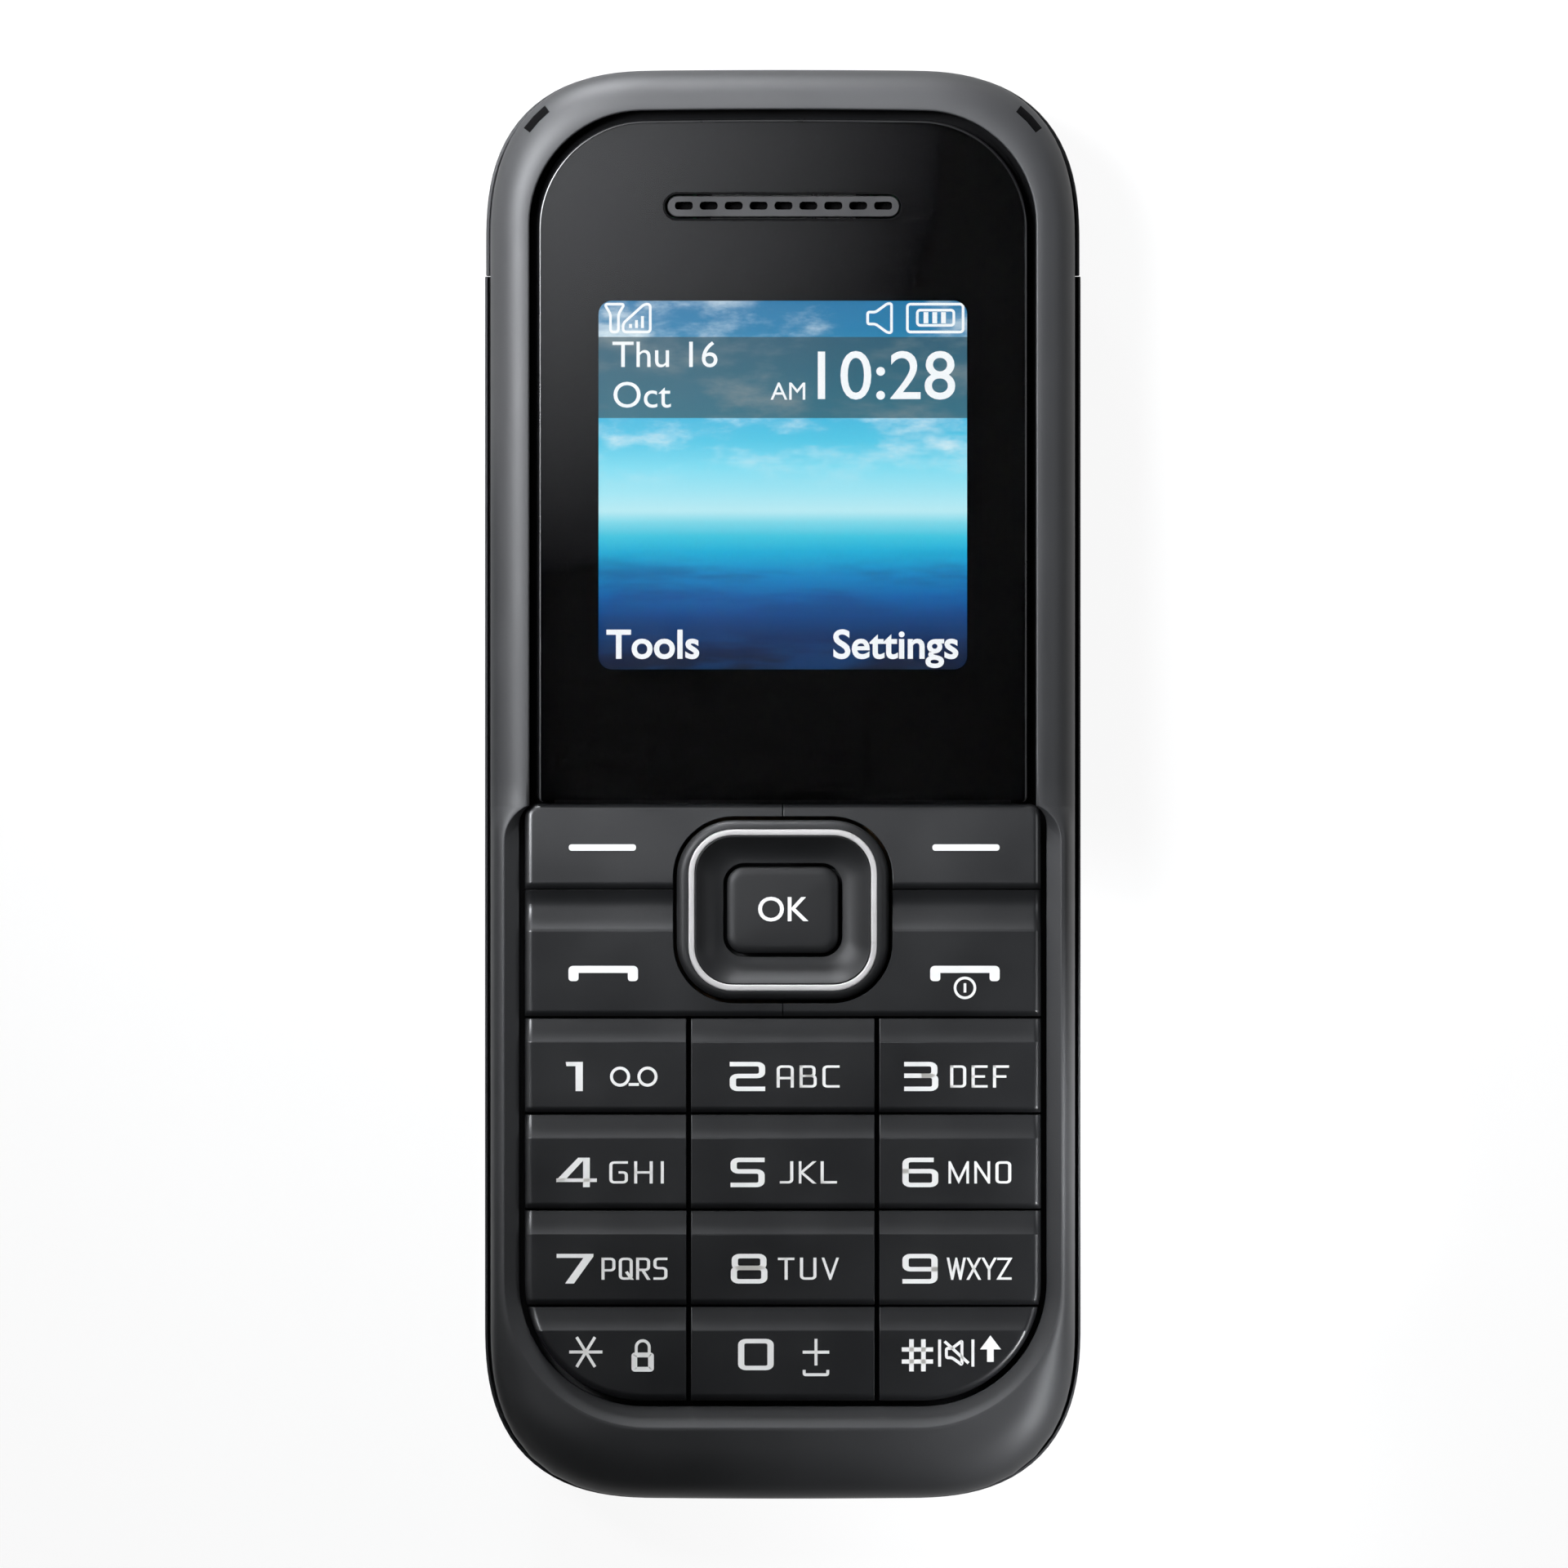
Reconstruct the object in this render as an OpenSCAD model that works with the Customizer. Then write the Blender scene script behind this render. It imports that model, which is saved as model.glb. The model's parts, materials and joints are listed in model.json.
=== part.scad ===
// Feature phone (bar phone) with keypad, display, battery cover and its inner pieces.
// The phone lies on its back: +X right, +Y towards the earpiece, +Z out of the screen.

/* [Body] */
// Width across the rear shell
body_w = 45; // [43:0.5:52]
// Length from end to end
body_l = 108; // [104:0.5:124]
// Thickness over the navigation key
body_t = 13.5; // [12.9:0.1:17]
// Reach of each rounded corner along the sides
corner_reach = 13; // [10:0.5:15]
// Squareness of the corners, where 2 is an ellipse
corner_power = 2.6; // [2.2:0.1:3]
// How far each end bows outwards
end_bow = 0.25; // [0:0.05:0.5]
// Wall of the battery cover and of the rear shell
shell_wall = 1; // [0.8:0.1:1.3]
// Reach of the rounded back edge inwards
back_round_w = 6; // [4:0.25:7]
// Height of the rounded back edge
back_round_h = 6; // [4:0.25:6.5]
// How far the front frame lies inside the rear shell's edge
front_inset = 0.25; // [0.1:0.05:0.5]
// Seam between the front frame and the rear shell
seam_gap = 0.15; // [0.1:0.05:0.3]

/* [Front frame] */
// Wall of the front frame
frame_wall = 1.3; // [1:0.1:1.6]
// Reach of the rounded front edge inwards
edge_round_w = 2.4; // [1.6:0.1:3]
// Height of the rounded front edge
edge_round_h = 2.9; // [2:0.1:3.4]
// Width of the rim beside the screen
rim_w = 3.1; // [2.6:0.1:3.6]
// Width of the rim above the screen
rim_top_w = 2.85; // [2.4:0.1:4]
// Corner radius of the screen pocket
pocket_r = 8.4; // [5:0.2:10]
// Thickness of the ledge that carries the screen
ledge_t = 0.8; // [0.6:0.1:1]
// Width of the sloped wall around the keypad
slope_w = 1.25; // [0.8:0.05:1.4]
// Depth of the sloped wall around the keypad
slope_h = 1.2; // [0.8:0.1:1.5]
// Corner radius at the upper ends of the sloped wall
shoulder_r = 3; // [2:0.25:4]

/* [Screen] */
// Length of the screen lens
lens_l = 51.8; // [46:0.2:58]
// Black border of the lens beside the display
lens_side = 4.8; // [3.5:0.1:6]
// Thickness of the screen lens
lens_t = 1; // [0.8:0.1:1.2]
// How far the lens lies below the frame's crest
lens_sink = 0.4; // [0.2:0.1:0.8]
// Gap around the lens
lens_gap = 0.45; // [0.3:0.05:0.6]
// Gap between the lens and the keypad
lens_foot_gap = 0.15; // [0.1:0.05:0.4]
// Thickness of the black print behind the lens
mask_t = 0.1; // [0.06:0.02:0.16]
// Thickness of the tape under the lens
tape_t = 0.1; // [0.06:0.02:0.2]
// Width of the lit display
display_w = 27.8; // [24:0.2:29]
// Height of the lit display
display_h = 27.8; // [24:0.2:30]
// Drop from the lens's top edge to the display
display_drop = 14; // [13.5:0.25:16]
// Display module's border at the sides
lcd_side = 1.35; // [1:0.05:1.5]
// Display module's border at the top
lcd_head = 3.3; // [2:0.1:3.4]
// Display module's border at the foot, with its driver
lcd_foot = 4.2; // [3:0.1:4.6]
// Thickness of the display's glass
panel_t = 1.1; // [0.8:0.1:1.2]
// Wall and floor of the display's tray
tray_wall = 0.4; // [0.3:0.05:0.5]
// Foam between the display and the lens
gasket_t = 0.3; // [0.2:0.05:0.4]

/* [Earpiece] */
// Length of the earpiece grille
ear_w = 17.8; // [14:0.2:20]
// Height of the earpiece grille
ear_h = 1.85; // [1.5:0.05:2.2]
// Drop from the lens's top edge to the grille's middle
ear_drop = 6.9; // [6.5:0.1:7.5]
// Number of grille slots
ear_slots = 9; // [5:1:9]
// Length of a grille slot
ear_slot_w = 1.4; // [0.8:0.1:1.5]
// Height of a grille slot
ear_slot_h = 0.6; // [0.4:0.05:0.9]
// Distance between grille slots
ear_pitch = 1.88; // [1.7:0.02:1.94]
// Length of the receiver
receiver_w = 13; // [10:0.5:14]
// Width of the receiver
receiver_h = 5.6; // [4.6:0.2:5.8]

/* [Keypad] */
// Distance from the bottom end to the keypad
chin = 7.5; // [7:0.25:10]
// Distance from the front frame's side to the keys
keypad_inset = 2.8; // [2.6:0.05:3.4]
// Height of a row of number keys with its slit
row_pitch = 7.25; // [6.5:0.05:7.6]
// Height of the block with the navigation key
upper_h = 16; // [15.4:0.1:17]
// Height of the soft keys
soft_h = 6.4; // [5.5:0.1:7]
// Width of the middle column with its slit
column_w = 14.2; // [12:0.1:15.4]
// Slit between keys
slit = 0.3; // [0.2:0.05:0.5]
// Hairline slit between the left and right function keys
hairline = 0.15; // [0.1:0.05:0.3]
// Gap around the keypad
keypad_gap = 0.45; // [0.3:0.05:0.6]
// Corner radius at the keypad's foot
keypad_r = 9; // [4:0.5:10]
// Height of a key cap
key_h = 2.25; // [1.8:0.05:2.4]
// Height of the sloped band along a number key's top
key_band = 1.65; // [1:0.05:2.2]
// Rise of the sloped band
key_step = 0.6; // [0.3:0.05:0.9]
// Rounding at a key's lower edge
key_foot = 0.3; // [0.15:0.05:0.5]
// Width of the hollow between a soft key and the key below it
valley_w = 3.2; // [2:0.1:3.6]
// Depth of that hollow
valley_h = 0.9; // [0.4:0.05:1.1]
// Travel of a key
key_travel = 0.4; // [0.25:0.05:0.5]
// Radius of a key's stem
stem_r = 0.9; // [0.6:0.05:1.1]

/* [Navigation key] */
// Width of the navigation key
nav_w = 16; // [14.6:0.1:16.6]
// Height of the navigation key
nav_h = 13.55; // [12.8:0.05:14]
// Corner radius of the navigation key
nav_r = 4.3; // [3.6:0.1:5]
// Groove around the navigation key
nav_gap = 0.27; // [0.2:0.01:0.35]
// How far the navigation key stands above the frame's crest
nav_proud = 0.4; // [0.2:0.05:0.6]
// Rounding of the navigation key's outer edge
nav_round = 0.6; // [0.3:0.05:0.8]
// Width of the bright ring
trim_w = 14.25; // [12.6:0.05:14.4]
// Height of the bright ring
trim_h = 12.2; // [11:0.05:12.3]
// Corner radius of the bright ring
trim_r = 3.3; // [2.6:0.1:3.6]
// Line width of the bright ring
trim_line = 0.48; // [0.3:0.02:0.7]
// Depth of the bright ring
trim_d = 0.4; // [0.25:0.05:0.6]
// Depth of the dish around the centre key
dish_d = 1.1; // [0.6:0.05:1.3]
// Width of the centre key
ok_w = 8.4; // [7.4:0.1:9]
// Height of the centre key
ok_h = 6.5; // [5.6:0.1:7]
// Corner radius of the centre key
ok_r = 1.3; // [0.9:0.1:1.8]
// Gap around the centre key
ok_gap = 0.3; // [0.2:0.05:0.4]
// How far the centre key's top lies below the navigation key's rim
ok_sink = 0.35; // [0:0.05:0.6]

/* [Board] */
// Thickness of the circuit board
board_t = 0.8; // [0.6:0.1:1]
// Thickness of the dome sheet's film
film_t = 0.1; // [0.06:0.02:0.16]
// Height of a snap dome
dome_h = 0.2; // [0.15:0.05:0.3]
// Radius of a snap dome
dome_r = 2; // [1.6:0.1:2.2]
// Air between the domes and the silicone mat
mat_air = 0.6; // [0.55:0.05:0.8]
// Thickness of the silicone mat
mat_t = 0.5; // [0.3:0.05:0.6]
// Width of the mat's rim
mat_rim = 0.6; // [0.4:0.05:0.7]
// Room behind the board for its shielded parts
under_board = 1.4; // [1.3:0.1:2]
// Height of the shield over the processor
shield_h = 1.2; // [0.9:0.1:1.3]

/* [Battery] */
// Width of the battery
battery_w = 33.8; // [28:0.2:34.4]
// Length of the battery
battery_l = 46; // [40:0.5:47]
// Gap around the battery
battery_gap = 0.2; // [0.1:0.05:0.4]
// Thickness of the rear housing's floor
floor_t = 0.8; // [0.6:0.1:1]
// Wall of the decks at both ends of the battery
deck_wall = 0.8; // [0.6:0.1:1.2]

/* [Battery cover] */
// Distance from the top end to the cover's seam
cover_drop = 15.6; // [14.5:0.1:18]
// Seam between the cover and the fixed top of the back
cover_gap = 0.2; // [0.1:0.05:0.4]
// How far the cover stands proud of the fixed top
cover_proud = 0.08; // [0:0.02:0.16]
// Running clearance of the cover on the rear housing
cover_clear = 0.3; // [0.2:0.05:0.4]
// Width of the cover's rail into the rear housing's groove
rail_w = 0.7; // [0.5:0.05:0.8]
// Height of the cover's rail
rail_h = 0.6; // [0.4:0.05:0.8]
// Length of the cover's rail
rail_l = 40; // [20:1:50]

/* [Sockets and speaker] */
// Bore of the headset jack, for a 3.5 mm plug
jack_bore = 3.56; // [3.52:0.02:3.7]
// Depth of the headset jack's bore
jack_depth = 11.5; // [9:0.5:12]
// Outer diameter of the headset jack's nose
jack_d = 5; // [4.6:0.1:5.1]
// Distance of the jack from the right side
jack_x = 10; // [9.5:0.5:12.5]
// How far the jack's mouth lies inside the top end
jack_sink = 1.3; // [0.9:0.1:1.6]
// Width of the charging socket
usb_w = 7.5; // [7.3:0.1:8]
// Height of the charging socket
usb_h = 2.5; // [2.3:0.1:2.7]
// Length of the charging socket
usb_l = 5.6; // [4.5:0.1:6]
// Sheet thickness of the charging socket
usb_wall = 0.3; // [0.2:0.05:0.4]
// Clearance around the sockets in the shell
port_gap = 0.12; // [0.05:0.01:0.2]
// Diameter of the loudspeaker
speaker_d = 9; // [7.5:0.5:9.5]
// Height of the loudspeaker
speaker_h = 3.4; // [2.4:0.1:3.8]
// Distance of the loudspeaker from the middle
speaker_x = 10.5; // [9.5:0.5:11]
// Number of loudspeaker slots
speaker_slots = 4; // [2:1:5]
// Width of a loudspeaker slot
speaker_slot_w = 0.9; // [0.6:0.1:1.1]

/* [Fasteners] */
// Diameter of a case screw
screw_d = 1.5; // [1.2:0.1:1.6]
// Diameter of a screw head
head_d = 2.7; // [2.3:0.1:2.8]
// Height of a screw head
head_h = 0.7; // [0.5:0.1:0.8]
// Diameter of a screw column
column_d = 3.6; // [3.4:0.1:3.7]

/* [Hidden] */
$fn = 40;
corner_steps = 7;
round_steps = 6;
touch = 0.02;    // closeness of pieces that rest on each other
through = 1;     // how far a cut runs past the faces that it opens

// Levels from the front face down to the back
face_z = body_t - nav_proud;
lens_z1 = face_z - lens_sink;
lens_z0 = lens_z1 - lens_t;
mask_z0 = lens_z0 - mask_t;
ledge_z1 = mask_z0 - tape_t;
ledge_z0 = ledge_z1 - ledge_t;
key_z1 = face_z;
key_z0 = key_z1 - key_h;
press_play = 0.05;    // left under a fully pressed key
key_lift = key_travel + press_play;
mat_z1 = key_z0 - key_lift;
mat_z0 = mat_z1 - mat_t;
dome_z1 = mat_z0 - mat_air;
stem_z0 = dome_z1 + key_lift;
film_z1 = dome_z1 - dome_h;
board_z1 = film_z1 - film_t;
board_z0 = board_z1 - board_t;
floor_z1 = board_z0 - under_board;
floor_z0 = floor_z1 - floor_t;
battery_z1 = floor_z0 - battery_gap;
battery_z0 = shell_wall + battery_gap;
seam_lift = 0.4;    // from the board's back to the case seam
seam_z = board_z0 + seam_lift;
rear_z1 = seam_z - seam_gap;
lcd_z1 = mask_z0 - gasket_t;

// The keypad and the lens share the body's length, and the display and its borders the body's width
length_fit = (body_l - front_inset - rim_top_w - lens_gap - lens_foot_gap - chin)
  / (lens_l + upper_h + 4 * row_pitch);
width_fit = (body_w - 2 * (front_inset + rim_w + lens_gap)) / (display_w + 2 * lens_side);
row_step = row_pitch * length_fit;
upper_l = upper_h * length_fit;
soft_l = soft_h * length_fit;
nav_l = nav_h * length_fit;
trim_l = trim_h * length_fit;
ok_l = ok_h * length_fit;
display_l = display_h * length_fit;
display_hw = display_w * width_fit / 2;

// Outlines in the plan view
half_w = body_w / 2;
half_l = body_l / 2;
front_hw = half_w - front_inset;
front_hl = half_l - front_inset;
pocket_hw = front_hw - rim_w;
pocket_y1 = front_hl - rim_top_w;
lens_hw = pocket_hw - lens_gap;
lens_y1 = pocket_y1 - lens_gap;
key_hw = front_hw - keypad_inset;
keypad_y0 = -half_l + chin;
rows_y1 = keypad_y0 + 4 * row_step - slit;
keypad_y1 = rows_y1 + slit + upper_l;
lens_y0 = keypad_y1 + lens_foot_gap;
opening_hw = key_hw + keypad_gap;
opening_y0 = keypad_y0 - keypad_gap;
nav_y = keypad_y1 - upper_l / 2;
soft_y0 = keypad_y1 - soft_l;
ear_y = lens_y1 - ear_drop * length_fit;
display_y1 = lens_y1 - display_drop * length_fit;
display_y0 = display_y1 - display_l;
lcd_hw = display_hw + lcd_side * width_fit;
lcd_y1 = display_y1 + lcd_head * length_fit;
lcd_y0 = display_y0 - lcd_foot * length_fit;
board_gap = 0.35;
board_inset = front_inset + frame_wall + board_gap;
chassis_inset = shell_wall + cover_clear;
chassis_wall = 1.2;
split_y = half_l - cover_drop;

// Back: battery between an upper and a lower deck
deck_rise = 1;
deck_r = 0.5;
lower_deck_rise = 1.8;
lower_deck_side = 6;
lower_deck_end = 2.4;
lower_deck_l = 8.6;
lower_deck_r = 6;
bulkhead_t = 0.8;
window_gap = 0.3;
column_edge = 0.05;
screw_x = lcd_hw + window_gap + column_d / 2;
deck_hw = screw_x + column_d / 2 + column_edge;
deck_z0 = battery_z0 + deck_rise;
lower_deck_z0 = battery_z0 + lower_deck_rise;
lower_deck_hw = half_w - lower_deck_side;
lower_deck_y0 = -half_l + lower_deck_end;
lower_deck_y1 = lower_deck_y0 + lower_deck_l;
battery_y0 = lower_deck_y1 + battery_gap;
battery_y1 = battery_y0 + battery_l;
deck_y0 = battery_y1 + battery_gap;
deck_y1 = split_y + cover_gap + bulkhead_t;
rail_drop = 0.1;
rail_z0 = (floor_z1 + board_z0) / 2 - rail_h / 2 - rail_drop;
rail_clear = 0.12;
rail_end_clear = 0.15;

// Screws: two beside the display, two below it and two in the chin
chin_screw_side = 4;
chin_screw_rise = 0.35;
upper_screw_drop = 2.4;
middle_screw_rise = 1.6;
chin_screw_x = lower_deck_hw - chin_screw_side;
chin_screw_y = lower_deck_y0 + column_d / 2 + chin_screw_rise;
upper_screw_y = deck_y1 - column_d / 2 - upper_screw_drop;
middle_screw_y = deck_y0 + column_d / 2 + middle_screw_rise;
screw_spots = [
  [screw_x, upper_screw_y, deck_z0], [-screw_x, upper_screw_y, deck_z0],
  [screw_x, middle_screw_y, deck_z0], [-screw_x, middle_screw_y, deck_z0],
  [chin_screw_x, chin_screw_y, lower_deck_z0], [-chin_screw_x, chin_screw_y, lower_deck_z0]];
screw_clear = 0.15;
thread_clear = 0.02;
head_sink = 0.2;
tip_clear = 0.1;
screw_tip_z = ledge_z0 - tip_clear;

// Sockets at the top end, hung under the board
jack_drop = 0.1;
jack_end = 0.7;
jack_side = 0.4;
usb_sink = 1.1;
usb_back = 1;
jack_mid_x = half_w - jack_x;
jack_z = board_z0 - jack_d / 2 - jack_drop;
jack_y1 = half_l - jack_sink;
usb_z1 = board_z0 - touch;
usb_z0 = usb_z1 - usb_h;
usb_y1 = half_l - usb_sink;
speaker_gap = 0.8;
speaker_wall_t = 1;
speaker_pitch = 1.7;
seat_t = 0.15;
speaker_foam_t = 0.5;
speaker_foam_w = 0.8;
speaker_lip = 0.6;
speaker_fit = 0.05;
speaker_y = deck_y1 + speaker_gap + speaker_d / 2;
seat_z = shell_wall + cover_proud + seat_t;
speaker_z0 = seat_z + speaker_foam_t;
motor_r = 2;
motor_l = 8;
motor_x = -4.5;
motor_shift = 0.4;
motor_drop = 0.3;
motor_y = (lower_deck_y0 + lower_deck_y1) / 2 + motor_shift;
motor_z = board_z0 - motor_r - motor_drop;
weight_l = 3;
weight_gap = 0.4;
weight_play = 0.1;
nose_r = 0.9;
shaft_r = 0.35;
shaft_play = 0.05;
cradle_end = 1;
cradle_drop = 0.6;
mic_x = 4;
mic_end = 3.9;
mic_y = -half_l + mic_end;
mic_r = 1.6;
mic_h = 1.3;
mic_hole_r = 0.45;
mic_drop = 0.1;
boot_wall = 0.4;
boot_fit = 0.03;

// Key grid
function_x = (key_hw + nav_w / 2 + nav_gap) / 2;
column_edges = [-key_hw, -column_w / 2, column_w / 2, key_hw];
stem_spots = concat(
  [for (row = [0:3], col = [0:2]) [key_mid_x(col), row_y0(row) + (row_step - slit) / 2]],
  [for (side = [-1, 1]) [side * function_x, soft_y0 + soft_l / 2]],
  [for (side = [-1, 1]) [side * function_x, (rows_y1 + slit + soft_y0 - slit) / 2]]);
nav_spot_end = 1.9;
nav_spot_side = 2.2;
nav_spots = [[0, nav_l / 2 - nav_spot_end], [0, -nav_l / 2 + nav_spot_end],
  [nav_w / 2 - nav_spot_side, 0], [-nav_w / 2 + nav_spot_side, 0]];

function key_x0(col) = column_edges[col] + (col == 0 ? 0 : slit / 2);
function key_x1(col) = column_edges[col + 1] - (col == 2 ? 0 : slit / 2);
function key_mid_x(col) = (key_x0(col) + key_x1(col)) / 2;
function row_y0(row) = keypad_y0 + (3 - row) * row_step;

// Rounded rectangle from y0 to y1, with its own radius at the top and at the foot
function round_rect(hw, y0, y1, rt, rb) = [
  for (c = [[1, 1, 0], [-1, 1, 90], [-1, -1, 180], [1, -1, 270]])
    for (i = [0:corner_steps])
      let (r = c[1] > 0 ? rt : rb, a = c[2] + 90 * i / corner_steps)
        [c[0] * (hw - r) + r * cos(a), (c[1] > 0 ? y1 - r : y0 + r) + r * sin(a)]];

function box_rect(w, h, r, cy = 0) = round_rect(w / 2, cy - h / 2, cy + h / 2, r, r);

// Plan outline of the shell, moved inwards by inset
function corner_point(inset, t) =
  let (reach = max(corner_reach - inset, 1), hw = half_w - inset, hl = half_l - inset,
       x = hw - reach + reach * pow(cos(t), 2 / corner_power),
       y = hl - reach + reach * pow(sin(t), 2 / corner_power))
    [x, y - end_bow * pow(x / hw, 2)];

function shell_outline(inset) =
  let (q = [for (i = [0:corner_steps]) corner_point(inset, 90 * i / corner_steps)],
       back = [for (i = [corner_steps:-1:0]) q[i]],
       end = [0, half_l - inset])
    concat(q, [end], [for (p = back) [-p[0], p[1]]],
           [for (p = q) [-p[0], -p[1]]], [-end], [for (p = back) [p[0], -p[1]]]);

function at_level(outline, z) = [for (p = outline) [p[0], p[1], z]];

// Solid through a stack of matching loops, lowest first
module loft(loops) {
  n = len(loops[0]);
  top = (len(loops) - 1) * n;
  polyhedron(
    points = [for (l = loops) each l],
    faces = concat(
      [[for (i = [0:n - 1]) i]],
      [for (j = [0:len(loops) - 2], i = [0:n - 1])
        [j * n + i, (j + 1) * n + i, (j + 1) * n + (i + 1) % n]],
      [for (j = [0:len(loops) - 2], i = [0:n - 1])
        [j * n + i, (j + 1) * n + (i + 1) % n, j * n + (i + 1) % n]],
      [[for (i = [n - 1:-1:0]) top + i]]),
    convexity = 6);
}

module slab(outline, z0, z1) {
  translate([0, 0, z0]) linear_extrude(z1 - z0) polygon(outline);
}

module ring(outer, inner, z0, z1) {
  difference() {
    slab(outer, z0, z1);
    slab(inner, z0 - through, z1 + through);
  }
}

module block(x0, x1, y0, y1, z0, z1) {
  translate([x0, y0, z0]) cube([x1 - x0, y1 - y0, z1 - z0]);
}

module rod(x, y, z0, z1, r) {
  translate([x, y, z0]) cylinder(h = z1 - z0, r = r);
}

// Profile in (y, z) pushed along X
module along_x(profile, x0, x1) {
  translate([x0, 0, 0]) rotate([90, 0, 90]) linear_extrude(x1 - x0) polygon(profile);
}

// Outer form of the back, rounded towards the rest face, with an inset for walls
module back_form(inset, z1) {
  loft(concat(
    [for (i = [0:round_steps])
      let (a = 90 * i / round_steps)
        at_level(shell_outline(inset + (back_round_w - inset) * (1 - sin(a))),
                 inset + (back_round_h - inset) * (1 - cos(a)))],
    [at_level(shell_outline(inset), z1)]));
}

module front_form() {
  base_z = face_z - edge_round_h;
  loft(concat(
    [at_level(shell_outline(front_inset), seam_z)],
    [for (i = [0:round_steps])
      let (a = 90 * i / round_steps)
        at_level(shell_outline(front_inset + edge_round_w * (1 - cos(a))), base_z + edge_round_h * sin(a))]));
}

ear_outline = box_rect(ear_w, ear_h, ear_h / 2, ear_y);
lcd_r = 0.4;
lcd_outline = round_rect(lcd_hw, lcd_y0, lcd_y1, lcd_r, lcd_r);
window_r = 0.6;
window_outline = round_rect(lcd_hw + window_gap, lcd_y0 - window_gap, lcd_y1 + window_gap,
                            window_r, window_r);
opening_r = 0.8;
key_area_r = 0.5;
opening_outline = round_rect(opening_hw, opening_y0, lens_y0, opening_r, keypad_r + keypad_gap);
key_area = round_rect(key_hw, keypad_y0, keypad_y1, key_area_r, keypad_r);
nav_outline = box_rect(nav_w, nav_l, nav_r, nav_y);
nav_clear = box_rect(nav_w + 2 * nav_gap, nav_l + 2 * nav_gap, nav_r + nav_gap, nav_y);
sound_gap = 0.35;
ear_end = 1;
lens_r = 0.4;
mic_z = board_z1 + mic_h / 2 + mic_drop;

module slope_cut() {
  over = slope_h / 2;    // how far the cut runs above the face
  top = slope_w + over * slope_w / slope_h;
  loft([
    at_level(round_rect(opening_hw, opening_y0, lens_y0, shoulder_r - slope_w, keypad_r + keypad_gap),
             face_z - slope_h),
    at_level(round_rect(opening_hw + top, opening_y0 - top, lens_y0, shoulder_r, keypad_r + keypad_gap + top),
             face_z + over)]);
}

module front_frame() color("#4b4c4f") {
  difference() {
    union() {
      difference() {
        front_form();
        slab(shell_outline(front_inset + frame_wall), seam_z - through, ledge_z0);
      }
      for (s = screw_spots) rod(s[0], s[1], board_z1 + touch, ledge_z0 + ledge_t / 2, column_d / 2);
    }
    slab(round_rect(pocket_hw, lens_y0 - lens_foot_gap - touch, pocket_y1, pocket_r, lens_r),
         ledge_z1, face_z + through);
    slab(window_outline, ledge_z0 - through, ledge_z1 + through);
    slab(opening_outline, seam_z, face_z + through);
    slope_cut();
    slab(box_rect(ear_w - 2 * ear_end, ear_h - sound_gap, (ear_h - sound_gap) / 2, ear_y),
         ledge_z0 - through, ledge_z1 + through);
    for (s = screw_spots) rod(s[0], s[1], seam_z - through, screw_tip_z, screw_d / 2 + thread_clear);
    translate([mic_x, -half_l + front_inset + 1.3 * frame_wall, mic_z])
      rotate([90, 0, 0]) cylinder(h = frame_wall + through, r = mic_hole_r);
  }
}

module screen_lens() color("#15161a") {
  difference() {
    slab(round_rect(lens_hw, lens_y0, lens_y1, pocket_r - lens_gap, lens_r), lens_z0, lens_z1);
    slab(ear_outline, lens_z0 - through, lens_z1 + through);
  }
}

ear_fit = 0.1;
ear_clear = box_rect(ear_w + 2 * ear_fit, ear_h + 2 * ear_fit, ear_h / 2 + ear_fit, ear_y);
mask_inset = 0.15;
tape_inset = 0.3;
window_corner = 1;

module lens_mask() color("#050505") {
  difference() {
    slab(round_rect(lens_hw - mask_inset, lens_y0 + mask_inset, lens_y1 - mask_inset,
                    pocket_r - lens_gap - mask_inset, lens_r), mask_z0, lens_z0);
    slab(ear_clear, mask_z0 - through, lens_z0 + through);
    slab(round_rect(display_hw, display_y0, display_y1, window_corner, window_corner),
         mask_z0 - through, lens_z0 + through);
  }
}

module lens_tape() color("#1c1c1c") {
  difference() {
    slab(round_rect(lens_hw - tape_inset, lens_y0 + tape_inset, lens_y1 - tape_inset,
                    pocket_r - lens_gap - tape_inset, lens_r), ledge_z1, mask_z0);
    slab(ear_clear, ledge_z1 - through, mask_z0 + through);
    slab(window_outline, ledge_z1 - through, mask_z0 + through);
  }
}

mesh_t = 0.1;
ear_sink = 0.25;

module earpiece_grille() color("#1a1b1d") {
  difference() {
    slab(box_rect(ear_w - 2 * ear_fit, ear_h - 2 * ear_fit, ear_h / 2 - ear_fit, ear_y),
         ledge_z1 + mesh_t, lens_z1 - ear_sink);
    for (i = [0:ear_slots - 1])
      translate([(i - (ear_slots - 1) / 2) * ear_pitch, 0, 0])
        slab(box_rect(ear_slot_w, ear_slot_h, ear_slot_h / 2 - touch, ear_y),
             ledge_z1 - through, lens_z1 + through);
  }
}

module earpiece_mesh() color("#0a0a0b") {
  slab(box_rect(ear_w - 2 * ear_fit, ear_h - 2 * ear_fit, ear_h / 2 - ear_fit, ear_y),
       ledge_z1, ledge_z1 + mesh_t);
}

receiver_z1 = ledge_z0 - gasket_t;
receiver_r = 1.2;
receiver_lip = 1;
membrane_sink = 0.25;

module receiver() color("#8b8d90") {
  difference() {
    slab(box_rect(receiver_w, receiver_h, receiver_r, ear_y), board_z1 + touch, receiver_z1);
    slab(box_rect(receiver_w - 2.4 * receiver_lip, receiver_h - 2.4 * receiver_lip, receiver_r / 2, ear_y),
         receiver_z1 - membrane_sink, receiver_z1 + through);
  }
}

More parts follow.
